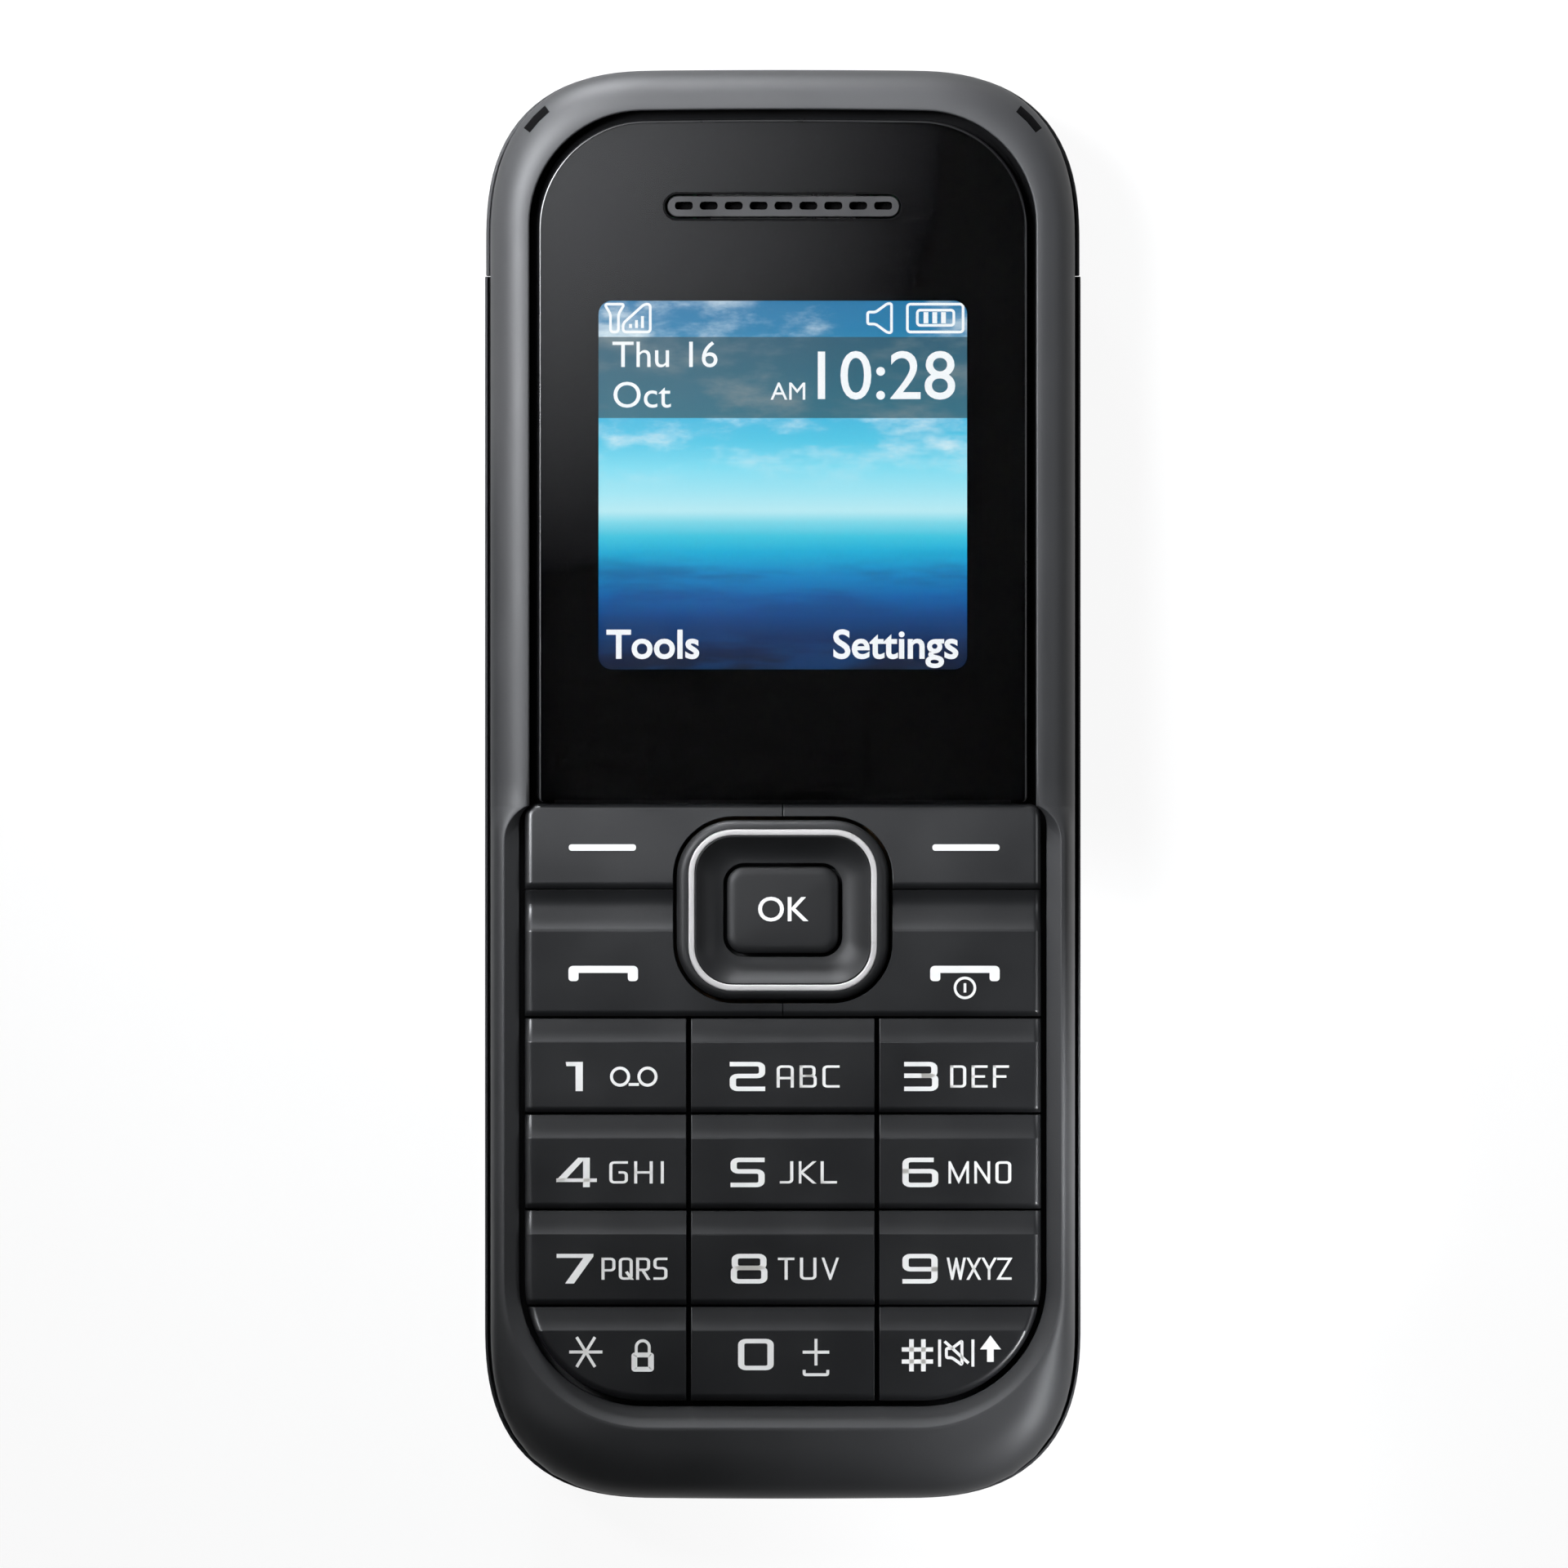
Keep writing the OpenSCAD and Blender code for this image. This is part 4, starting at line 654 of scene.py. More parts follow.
def lensRing(bm, inset, z, footInset=0):
    before = set(bm.edges)
    look = lens
    w, top = look["halfW"] - inset, look["top"] - inset
    made = cornerRing(bm, (-w, w, look["foot"] + footInset, top), z,
                      (footCorners, look["footR"] - inset, 6), (topCorners, look["topR"] - inset, 24))
    topEdge = [e for e in made if all(abs(v.co.y - top * mm) < 1e-6 for v in e.verts)
               and e.calc_length() > 0.01]
    bmesh.ops.subdivide_edges(bm, edges=topEdge, cuts=12)
    made = [edge for edge in bm.edges if edge not in before]
    for vert in {v for e in made for v in e.verts}:
        if vert.co.y > look["bowFrom"] * mm:
            vert.co.y -= look["bow"] * mm * (vert.co.x / (w * mm)) ** 2
    return made


def buildLens():
    look = lens
    low, high, edge = look["low"], look["high"], look["edge"]
    bm = bmesh.new()
    outer = [lensRing(bm, 0, low)]
    for inset, drop in rolledEdge(edge, edge, 5):  # rounded edge, square at the foot
        outer.append(lensRing(bm, inset, high - drop))
    outer.append(lensRing(bm, edge + look["flatIn"], high, look["flatFootIn"]))
    bridgeAll(bm, outer)
    pillW, pillR = look["pill"]
    hole = []
    for grow, z in ((0, low), (0, high), (look["pillRim"], high)):
        hole.append(roundedRing(bm, (pillW + grow, pillR + grow), z, pillR + grow - sliver,
                                (0, look["pillY"]), 10))
    bridgeAll(bm, hole)
    for level in (0, -1):
        bmesh.ops.triangle_fill(bm, edges=outer[level] + hole[level], use_beauty=True)
    faceOut(bm)
    for face in bm.faces:  # its edges are blacked out
        face.material_index = 1 if abs(face.normal.z) < 0.99 else 0
    for rim in hole[1]:  # black inside and round the earpiece opening
        for face in rim.link_faces:
            face.material_index = 2
    finishPiece(bm, "screen_glass", "lensClear", "root", ["screen_lens"], 40,
                ["lensEdge", "inkAndShadeBlack"])


buildLens()

ear = {"half": (8.76, 0.80), "middle": (0.05, 43.56), "low": 11.75, "high": 12.5, "edge": 0.06,
       "slot": (0.68, 0.30), "slotR": 0.26, "rise": 0.05, "pitch": 1.878, "count": 9}


def buildGrille():
    look = ear
    x, y = look["middle"]
    wide, tall = look["half"]
    edge = look["edge"]
    bm = bmesh.new()
    outer = []
    for inset, z in ((0, look["low"]), (0, look["high"] - edge), (edge, look["high"])):
        outer.append(roundedRing(bm, (wide - inset, tall - inset), z, tall - inset - sliver, (x, y), 10))
    bridgeAll(bm, outer)
    under, over = list(outer[0]), list(outer[-1])
    for i in range(look["count"]):
        spot = (x + (i - (look["count"] - 1) / 2) * look["pitch"], y + look["rise"])
        hole = [roundedRing(bm, look["slot"], z, look["slotR"], spot, 6)
                for z in (look["low"], look["high"])]
        bridgeAll(bm, hole)
        under += hole[0]
        over += hole[1]
    for rims in (under, over):
        bmesh.ops.triangle_fill(bm, edges=rims, use_beauty=True)
    faceOut(bm)
    for face in bm.faces:  # painted shade: the slot walls and the pill's sides take the darker black, without sheen
        face.material_index = 1 if abs(face.normal.z) < 0.3 else 0
    finishPiece(bm, "ear_slots", "grilleBlack", "root", ["earpiece_grille"], 30,
                ["inkAndShadeBlack"])


buildGrille()
print("lens and earpiece made")


# number keys: one rounded pad, cut into twelve

pad = {"halfW": 19.45, "foot": -46.5, "top": -1.5, "footR": 9.0, "low": 10.85, "high": 13.1,
       "sideW": 0.55, "sideH": 0.5, "sideSteps": 7, "slit": 0.36, "column": 7.1,
       "rows": (-24.75, -32.0, -39.25, -46.5), "keyL": 7.08, "band": 1.78, "step": 0.50,
       "footW": 0.42, "footH": 0.30}
keyOrder = ("1", "2", "3", "4", "5", "6", "7", "8", "9", "star", "0", "hash")
numberKeys = {"key_" + name: (i % 3, i // 3) for i, name in enumerate(keyOrder)}  # column, row


def padRing(bm, inset, z):
    w = pad["halfW"] - inset
    return cornerRing(bm, (-w, w, pad["foot"] + inset, pad["top"]), z,
                      (footCorners, pad["footR"] - inset, 30))


def keyBlock(ringAt):
    # a block with rolled upper edges, from rings that ringAt makes
    look = pad
    bm = bmesh.new()
    rings = [ringAt(bm, 0, look["low"])]
    for inset, drop in rolledEdge(look["sideW"], look["sideH"], look["sideSteps"]):
        rings.append(ringAt(bm, inset, look["high"] - drop))
    rings.append(ringAt(bm, look["sideW"] + hold, look["high"]))
    closeEnds(bm, rings)
    return bm


def lowerTop(bm, dropAt):
    for vert in bm.verts:
        if vert.co.z > (pad["low"] + 0.5) * mm:
            vert.co.z -= dropAt(vert.co.y / mm) * mm


def buildNumberKey(name, column, row):
    look = pad
    bm = keyBlock(padRing)
    half = look["slit"] / 2
    if column > 0:
        cutAway(bm, ((2 * column - 3) * look["column"] + half, 0, 0), (-1, 0, 0))
    if column < 2:
        cutAway(bm, ((2 * column - 1) * look["column"] - half, 0, 0), (1, 0, 0))
    y0 = look["rows"][row]
    y1 = y0 + look["keyL"]
    cutAway(bm, (0, y1, 0), (0, 1, 0))
    lines = [y1 - look["band"] * i / 6 for i in range(1, 7)] + [y1 - look["band"] - hold]
    if row < 3:
        cutAway(bm, (0, y0, 0), (0, -1, 0))
        lines.append(y0 + look["footW"] + hold)
        lines += [y0 + look["footW"] * (1 - i / 4) for i in range(4)]
    for y in lines:
        scoreAcross(bm, y)

    def drop(y):  # hollow along the upper edge, and the lower edge rolls off
        if y > y1 - look["band"]:
            rise = (y1 - y) / look["band"]
            return look["step"] * (1 - 0.35 * rise - 0.65 * rise * rise)
        if row < 3 and y < y0 + look["footW"]:
            return look["footH"] * ((y0 + look["footW"] - y) / look["footW"]) ** 2
        return 0

    lowerTop(bm, drop)
    faceOut(bm)
    piece = finishPiece(bm, "cap" + name[3:], "keySatin", name, [name], sharp=0)
    softenEdges(piece, 0.10, 3, 22)


for name, (column, row) in numberKeys.items():
    buildNumberKey(name, column, row)
print("number keys made:", len(numberKeys))


# soft keys, and phone keys that start with a valley, cut from one slab round the navigation key

functionKeys = {
    "soft_key_left": (-1, True), "soft_key_right": (1, True),
    "call_key": (-1, False), "end_key": (1, False)}
slab = {"halfW": 19.45, "top": -1.5, "foot": -17.5, "corner": 0.9, "split": -7.95, "gap": 0.03,
        "rollW": 0.5, "rollH": 0.34, "valley": 3.15, "deep": 0.62, "bottom": 0.36, "footW": 0.42,
        "footH": 0.30, "tilt": 0.115, "tiltY": -7.0, "nav": (8.27, 7.04), "navCorner": 4.57}
nav = {"middle": (0, -9.5), "half": (8.0, 6.775), "corner": 4.3, "low": 10.95, "high": 13.5,
       "round": 0.6, "lineHalf": (7.125, 6.1), "lineCorner": 3.35, "line": 0.48, "lineDeep": 0.4,
       "rim": 0.12, "dishHalf": (4.5, 3.55), "dishCorner": 1.6, "dishLow": 12.4, "dishGap": 0.2}


def slabRing(bm, inset, z):
    w = slab["halfW"] - inset
    return cornerRing(bm, (-w, w, slab["foot"], slab["top"] - inset), z,
                      (topCorners, slab["corner"] - inset, 8))


def slabDrop(y, soft):
    # how far the top lies below the level: rolled edge and valley make one trough
    look = slab
    if soft:
        past = max(look["split"] + look["rollW"] - y, 0) / look["rollW"]
        return look["rollH"] * past ** 2 + look["tilt"] * max(y - look["tiltY"], 0)
    if y < look["foot"] + look["footW"]:
        return look["footH"] * ((look["foot"] + look["footW"] - y) / look["footW"]) ** 2
    share = min((look["split"] - y) / look["valley"], 1)
    if share < look["bottom"]:
        fall = math.sin(math.pi / 2 * share / look["bottom"])
        return look["rollH"] + (look["deep"] - look["rollH"]) * fall
    return look["deep"] * (1 - ((share - look["bottom"]) / (1 - look["bottom"])) ** 1.7)


def buildFunctionKey(name, side, soft):
    look = slab
    split, gap, foot = look["split"], look["gap"], look["foot"] + look["footW"]
    bm = keyBlock(slabRing)
    cutAway(bm, (side * gap, 0, 0), (-side, 0, 0))
    if soft:
        cutAway(bm, (0, split + gap, 0), (0, -1, 0))
        lines = [split + look["rollW"] * i / 6 for i in range(1, 7)]
        lines.append(split + look["rollW"] + hold)
    else:
        cutAway(bm, (0, split - gap, 0), (0, 1, 0))
        lines = [split - look["valley"] * i / 14 for i in range(1, 15)]
        lines += [look["foot"] + look["footW"] * i / 4 for i in range(1, 5)]
        lines += [split - look["valley"] - hold, foot + hold]
    for y in lines:
        scoreAcross(bm, y)
    lowerTop(bm, lambda y: slabDrop(y, soft))
    cutter = bmesh.new()
    closeEnds(cutter, [roundedRing(cutter, look["nav"], z, look["navCorner"], nav["middle"], 16)
                       for z in (9, 15)])
    for part in (bm, cutter):
        faceOut(part)
    piece = finishPiece(drilled(bm, cutter), name.replace("_key", "") + "_cap", "keySatin", name,
                        [name], sharp=0)
    softenEdges(piece, 0.08, 3, 28)


for name, (side, soft) in functionKeys.items():
    buildFunctionKey(name, side, soft)
print("function keys made")


# navigation key with its bright line, and the centre key

centre = {"half": (4.2, 3.25), "corner": 1.3, "low": 11.3, "high": 13.15, "edge": 0.75, "edgeH": 0.32,
          "dome": 0.06}


def navRing(bm, half, inset, corner, z):
    size = (half[0] - inset, half[1] - inset)
    return roundedRing(bm, size, z, max(corner - inset, 0.3), nav["middle"], 12)


def buildNav():
    look = nav
    high = look["high"]
    bm = bmesh.new()
    rings = [navRing(bm, look["half"], 0, look["corner"], look["low"])]
    for inset, drop in rolledEdge(look["round"], look["round"], 8):
        rings.append(navRing(bm, look["half"], inset, look["corner"], high - drop))
    wide, deep, rim = look["line"], look["lineDeep"], look["rim"]
    # the line's groove, and a small chamfer on its inner side
    for inset, drop in ((0, 0), (0, deep), (wide, deep), (wide, rim), (wide + 0.10, rim / 2)):
        rings.append(navRing(bm, look["lineHalf"], inset, look["lineCorner"], high - drop))
    inner = [half - wide - look["dishGap"] for half in look["lineHalf"]]
    innerCorner = look["lineCorner"] - wide - look["dishGap"]
    for i in range(9):  # hollow dish, steep at the rim and level at the centre key
        share = i / 8
        half = tuple(a + (b - a) * share for a, b in zip(inner, look["dishHalf"]))
        corner = innerCorner * (1 - share) + look["dishCorner"] * share
        drop = (high - rim - look["dishLow"]) * (1 - (1 - share) ** 1.8)
        rings.append(roundedRing(bm, half, high - rim - drop, corner, look["middle"], 12))
    rings.append(navRing(bm, look["dishHalf"], 0, look["dishCorner"], look["low"]))
    bridgeAll(bm, rings, closed=True)
    faceOut(bm)
    finishPiece(bm, "nav_cap", "navSatin", "nav_ring", ["nav_ring"], sharp=40)


def buildNavLine():
    look = nav
    side = [(0.01, look["lineDeep"] - 0.01), (0.01, 0.07), (0.05, 0.015), (0.12, 0)]  # inset, drop
    farSide = [(look["line"] - inset, drop) for inset, drop in reversed(side)]
    bm = bmesh.new()
    rings = [navRing(bm, look["lineHalf"], inset, look["lineCorner"], look["high"] - drop)
             for inset, drop in side + farSide]
    bridgeAll(bm, rings, closed=True)
    faceOut(bm)
    finishPiece(bm, "nav_line", "trimSilver", "nav_ring", ["nav_trim"], sharp=45)


def buildCentreKey():
    look = centre
    dome, edge = look["dome"], look["edge"]
    bm = bmesh.new()
    rings = [navRing(bm, look["half"], 0, look["corner"], look["low"])]
    for inset, drop in rolledEdge(edge, look["edgeH"], 8):
        rings.append(navRing(bm, look["half"], inset, look["corner"], look["high"] - dome - drop))
    for share in (0.2, 0.45, 0.7, 0.9):  # slightly domed top
        half = tuple((side - edge) * (1 - share) for side in look["half"])
        rings.append(roundedRing(bm, half, look["high"] - dome * (1 - share) ** 2,
                                 max((look["corner"] - edge) * (1 - share), 0.05), nav["middle"], 12))
    closeEnds(bm, rings)
    faceOut(bm)
    finishPiece(bm, "centre_cap", "navSatin", "ok_key", ["ok_key"], sharp=45)


buildNav()
buildNavLine()
buildCentreKey()
print("navigation key made")


# printed figures, letters and signs: strokes with rounded turns

glyphs = {
    "0": [[(0, 0), (0, 1), (1, 1), (1, 0), (0, 0)]],
    "2": [[(0, 1), (1, 1), (1, 0.52), (0, 0.52), (0, 0), (1, 0)]],
    "3": [[(0, 1), (0.97, 1), (0.97, 0.53), (0, 0.53)], [(0.5, 0.53), (1, 0.53), (1, 0), (0, 0)]],
    "5": [[(1, 1), (0, 1), (0, 0.54), (1, 0.54), (1, 0), (0, 0)]],
    "6": [[(0.95, 1), (0, 1), (0, 0), (1, 0), (1, 0.55), (0, 0.55)]],
    "8": [[(0, 0), (0, 0.53), (1, 0.53), (1, 0), (0, 0)],
          [(0.03, 0.53), (0.03, 1), (0.97, 1), (0.97, 0.53), (0.03, 0.53)]],
    "9": [[(0, 0), (1, 0), (1, 1), (0, 1), (0, 0.48), (1, 0.48)]],
    "A": [[(0, 0), (0, 1), (1, 1), (1, 0)], [(0, 0.42), (1, 0.42)]],
    "B": [[(0, 0), (0, 1)], [(0, 1), (0.92, 1), (0.92, 0.53), (0, 0.53)],
          [(0.3, 0.53), (1, 0.53), (1, 0), (0, 0)]],
    "C": [[(1, 1), (0, 1), (0, 0), (1, 0)]],
    "D": [[(0, 0), (0, 1)], [(0, 1), (1, 1), (1, 0), (0, 0)]],
    "E": [[(0, 0), (0, 1)], [(0, 1), (1, 1)], [(0, 0), (1, 0)], [(0, 0.5), (0.92, 0.5)]],
    "F": [[(0, 0), (0, 1)], [(0, 1), (1, 1)], [(0, 0.5), (0.92, 0.5)]],
    "G": [[(1, 1), (0, 1), (0, 0), (1, 0), (1, 0.5), (0.5, 0.5)]],
    "H": [[(0, 0), (0, 1)], [(1, 0), (1, 1)], [(0, 0.5), (1, 0.5)]],
    "I": [[(0.5, 0), (0.5, 1)]],
    "J": [[(1, 1), (1, 0), (0.1, 0)]],
    "K": [[(0, 0), (0, 1)], [(0.95, 1), (0.1, 0.5), (0.95, 0)]],
    "L": [[(0, 0), (0, 1)], [(0, 0), (1, 0)]],
    "M": [[(0, 0), (0, 1), (0.5, 0.06), (1, 1), (1, 0)]],
    "N": [[(0, 0), (0, 1), (1, 0), (1, 1)]],
    "O": [[(0, 0), (0, 1), (1, 1), (1, 0), (0, 0)]],
    "P": [[(0, 0), (0, 1)], [(0, 1), (1, 1), (1, 0.42), (0, 0.42)]],
    "Q": [[(0, 0), (0, 1), (1, 1), (1, 0), (0, 0)], [(0.55, 0.35), (1, 0)]],
    "R": [[(0, 0), (0, 1)], [(0, 1), (1, 1), (1, 0.44), (0, 0.44)], [(0.45, 0.44), (0.95, 0)]],
    "S": [[(1, 1), (0, 1), (0, 0.53), (1, 0.53), (1, 0), (0, 0)]],
    "T": [[(0, 1), (1, 1)], [(0.5, 1), (0.5, 0)]],
    "U": [[(0, 1), (0, 0), (1, 0), (1, 1)]],
    "V": [[(0, 1), (0.5, 0), (1, 1)]],
    "W": [[(0, 1), (0.25, 0), (0.5, 0.95), (0.75, 0), (1, 1)]],
    "X": [[(0.05, 0), (0.95, 1)], [(0.05, 1), (0.95, 0)]],
    "Y": [[(0.02, 1), (0.5, 0.48), (0.98, 1)], [(0.5, 0.5), (0.5, 0)]],
    "Z": [[(0, 1), (1, 1), (0, 0), (1, 0)]]}
sharpGlyphs = "KMNVWXYZ"  # turns stay sharp
slantGlyphs = "KMNQRVWXYZ"  # slanted ends are cut level
plates = {  # figures with straight edges
    "1": [[(0, 1), (1, 1), (1, 0), (0.58, 0), (0.58, 0.855), (0.05, 0.855)]],
    "4": [[(0.66, 0), (0.826, 0), (0.826, 1), (0.66, 1)],
          [(0, 0.176), (1, 0.176), (1, 0.294), (0, 0.294)],
          [(0.539, 1), (0.73, 1), (0.185, 0.2), (0, 0.2), (0, 0.24)]],
    "7": [[(0, 1), (1, 1), (1, 0.91), (0.47, 0), (0.23, 0), (0.73, 0.865), (0, 0.865)]]}


def strokeLook(thick, widen, corner, deep=0.14, z=12.99):
    return {"thick": thick, "widen": widen, "corner": corner, "deep": deep, "z": z}


figure = strokeLook(0.335, 1.40, 0.27)
letter = strokeLook(0.178, 1.30, 0.20)
sign = strokeLook(0.22, 1.0, 0.12)
hatch = strokeLook(0.32, 1.08, 0.0)
lock = strokeLook(0.36, 1.2, 0.06)
power = strokeLook(0.20, 1.0, 0.0, 0.08, 13.04)
trimSlack = 0.004
dashZ = 12.83
keyPrint = {  # figure's left and right, letters, their left and right
    "key_1": ("1", -16.37, -15.08, "", 0, 0), "key_2": ("2", -4.00, -1.33, "ABC", -0.46, 4.28),
    "key_3": ("3", 9.15, 11.72, "DEF", 12.62, 17.05), "key_4": ("4", -17.07, -14.02, "GHI", -13.08, -8.84),
    "key_5": ("5", -3.94, -1.37, "JKL", -0.44, 4.08), "key_6": ("6", 9.02, 11.72, "MNO", 12.49, 17.22),
    "key_7": ("7", -17.05, -14.28, "PQRS", -13.67, -8.70), "key_8": ("8", -3.92, -1.16, "TUV", -0.37, 4.20),
    "key_9": ("9", 9.02, 11.67, "WXYZ", 12.37, 17.25), "key_star": ("", 0, 0, "", 0, 0),
    "key_0": ("0", -3.37, -0.69, "", 0, 0), "key_hash": ("", 0, 0, "", 0, 0)}
# each row: its middle, and the heights of figures and letters
rowPrint = ((-22.05, 2.20, 1.67), (-29.28, 2.22, 1.67), (-36.54, 2.24, 1.66), (-43.01, 2.36, 1.67))


def glyphPaths(glyph, left, right, low, high, stroke):
    halfX = stroke["thick"] * stroke["widen"] / 2
    halfY = stroke["thick"] / 2
    left, right, low, high = left + halfX, right - halfX, low + halfY, high - halfY

    def reach(end, inner):  # an open end runs out to the figure's edge
        x, y = left + (right - left) * end[0], low + (high - low) * end[1]
        if end[1] == inner[1] and end[0] in (0, 1):
            return (x + halfX * (1 if end[0] > inner[0] else -1), y)
        if end[1] in (0, 1) and end[1] != inner[1]:
            lift = halfY * (1 if end[1] > inner[1] else -1)
            slope = (end[0] - inner[0]) / (end[1] - inner[1]) * (right - left) / (high - low)
            if slope:  # a slanted end runs on, and is cut level later
                lift *= 4
            return (x + slope * lift, y + lift)
        return (x, y)

    paths = []
    for path in glyphs[glyph]:
        spots = [(left + (right - left) * u, low + (high - low) * v) for u, v in path]
        if path[0] != path[-1]:
            spots[0] = reach(path[0], path[1])
            spots[-1] = reach(path[-1], path[-2])
        paths.append(spots)
    return paths


def glyphMeshes(glyph, left, right, low, high, stroke):
    if glyph in plates:
        width, height = right - left, high - low
        return [plateMesh([(left + width * u, low + height * v) for u, v in spots], stroke["deep"],
                          stroke["z"]) for spots in plates[glyph]]
    own = dict(stroke, corner=0, widen=1.1) if glyph in sharpGlyphs else stroke
    mesh = strokeMesh(glyphPaths(glyph, left, right, low, high, own), own)
    if glyph in slantGlyphs:
        trimmed = bmesh.new()
        trimmed.from_mesh(mesh)
        cutAway(trimmed, (0, high + trimSlack, 0), (0, 1, 0))
        cutAway(trimmed, (0, low - trimSlack, 0), (0, -1, 0))
        mesh = asMesh(trimmed, "strokes")
    return [mesh]


def wordMeshes(word, left, right, low, high, stroke):
    widths = [0.35 if glyph == "I" else 1.3 if glyph in "MW" else 1.0 for glyph in word]
    gap = {"WXYZ": 0.06, "PQRS": 0.24}.get(word, 0.34)
    unit = (right - left) / (sum(widths) + gap * (len(word) - 1))
    meshes = []
    for glyph, width in zip(word, widths):
        meshes += glyphMeshes(glyph, left, left + unit * width, low, high, stroke)
        left += unit * (width + gap)
    return meshes


def circlePath(x, y, radius, start=0, end=360, steps=28):
    spots = []
    for i in range(steps + 1):
        turn = math.radians(start + (end - start) * i / steps)
        spots.append((x + radius * math.cos(turn), y + radius * math.sin(turn)))
    if end - start == 360:
        spots[-1] = spots[0]
    return spots


def strokeMesh(paths, stroke):
    wire = bmesh.new()
    for path in paths:
        closed = path[0] == path[-1]
        spots = path[:-1] if closed else path
        verts = [wire.verts.new((x / stroke["widen"] * mm, y * mm, 0)) for x, y in spots]
        for start, end in zip(verts, verts[1:] + (verts[:1] if closed else [])):
            wire.edges.new((start, end))
        turns = verts if closed else verts[1:-1]
        if turns and len(path) < 12 and stroke["corner"]:
            before = set(wire.verts) - set(verts)
            bmesh.ops.bevel(wire, geom=turns, offset=stroke["corner"] * mm, offset_type="OFFSET",
                            segments=4, profile=0.5, affect="VERTICES", material=-1, clamp_overlap=True)
            own = [vert for vert in wire.verts if vert not in before]
            bmesh.ops.remove_doubles(wire, verts=own, dist=0.004 * mm)
    raiseBy(wire, bmesh.ops.extrude_edge_only(wire, edges=wire.edges[:]), stroke["deep"])
    faceOut(wire)  # one way round, so that the wall has no spikes
    holder = bpy.data.objects.new("strokes", asMesh(wire, "strokes"))
    wall = holder.modifiers.new("wall", "SOLIDIFY")
    wall.thickness = stroke["thick"] * mm
    wall.offset = 0
    wall.use_even_offset = True
    solid = solidMesh(holder)
    solid.transform(Matrix.Translation((0, 0, stroke["z"] * mm))
                    @ Matrix.Diagonal((stroke["widen"], 1, 1, 1)))
    return solid


def plateMesh(points, deep, z, corners=()):
    # a flat sign, some of its corners rounded by bevelling their points
    plate = bmesh.new()
    addRing(plate, [(x, y, z) for x, y in points])
    for vert, corner in zip(plate.verts[:], corners):
        if corner:
            bmesh.ops.bevel(plate, geom=[vert], offset=corner * mm, offset_type="OFFSET", segments=6,
                            profile=0.5, affect="VERTICES", material=-1)
    capRing(plate, plate.edges[:])
    raiseBy(plate, bmesh.ops.extrude_face_region(plate, geom=plate.faces[:]), deep)
    return asMesh(plate, "plate")


def wordMesh(text, size, spread, x, y, z, anchor="LEFT", deep=0.012):
    curve = bpy.data.curves.new("word", "FONT")
    curve.body = text
    curve.size = size
    curve.offset = spread
    curve.extrude = deep
    curve.align_x = anchor
    curve.align_y = "CENTER"
    curve.resolution_u = 5
    mesh = solidMesh(bpy.data.objects.new("word", curve))
    mesh.transform(Matrix.Scale(mm, 4) @ Matrix.Translation((x, y, z)))
    return mesh


def printPiece(name, meshes, body, finish="legendWhite"):
    bm = bmesh.new()
    for mesh in meshes:
        bm.from_mesh(mesh)
    bmesh.ops.remove_doubles(bm, verts=bm.verts, dist=1e-7)
    faceOut(bm)
    finishPiece(bm, name, finish, body, sharp=40)


def keySigns(name):
    y = rowPrint[numberKeys[name][1]][0]
    if name == "key_1":  # voicemail
        return [(circlePath(x, y - 0.01, 0.645), sign) for x in (-12.27, -10.20)] + [
            ([(-11.62, y - 0.60), (-10.85, y - 0.60)], sign)]
    if name == "key_star":  # star and padlock
        x, y = -14.85, -42.82
        arms = [[(x - a, y - b), (x + a, y + b)] for a, b in ((1.25, 0), (0.69, 1.12), (0.69, -1.12))]
        body = [(-11.19, -44.12), (-9.94, -44.12), (-9.94, -43.04), (-11.19, -43.04), (-11.19, -44.12)]
        loop = [(-11.05, -42.9)] + circlePath(-10.56, -42.46, 0.49, 180, 0, 14) + [(-10.07, -42.9)]
        return [(arm, sign) for arm in arms] + [(body, lock), (loop, sign)]
    if name == "key_0":  # plus over a space bracket
        return [([(2.5, -43.83), (2.5, -41.83)], sign), ([(1.5, -42.83), (3.5, -42.83)], sign),
                ([(1.61, -44.17), (1.61, -44.53), (3.39, -44.53), (3.39, -44.17)], sign)]
    if name == "key_hash":  # cross-hatch, then quiet sign
        upright = [([(x, -41.86), (x, -44.28)], hatch) for x in (9.70, 10.60)]
        level = [([(8.97, y), (11.33, y)], hatch) for y in (-42.63, -43.54)]
        bars = [([(x, -41.88), (x, -43.92)], sign) for x in (11.82, 14.33)]
        horn = [(12.33, -42.55), (12.75, -42.55), (13.5, -41.98), (13.5, -43.78), (12.75, -43.25),
                (12.33, -43.25), (12.33, -42.55)]
        return upright + level + bars + [(horn, sign), ([(12.2, -42.02), (14.0, -43.66)], sign)]
    return []


def buildKeyPrint(name):
    glyph, left, right, word, wordLeft, wordRight = keyPrint[name]
    y, high, small = rowPrint[numberKeys[name][1]]
    meshes = []
    if glyph:
        meshes += glyphMeshes(glyph, left, right, y - high / 2, y + high / 2, figure)
    if word:
        meshes += wordMeshes(word, wordLeft, wordRight, y - small / 2, y + small / 2, letter)
    for path, stroke in keySigns(name):
        meshes.append(strokeMesh([path], stroke))
    if name == "key_hash":
        arrow = [(15.65, -41.57), (16.45, -42.62), (15.90, -42.62), (15.90, -43.56), (15.40, -43.56),
                 (15.40, -42.62), (14.87, -42.62)]
        meshes.append(plateMesh(arrow, sign["deep"], sign["z"]))
    printPiece("print" + name[3:], meshes, name)


for name in keyPrint:
    buildKeyPrint(name)


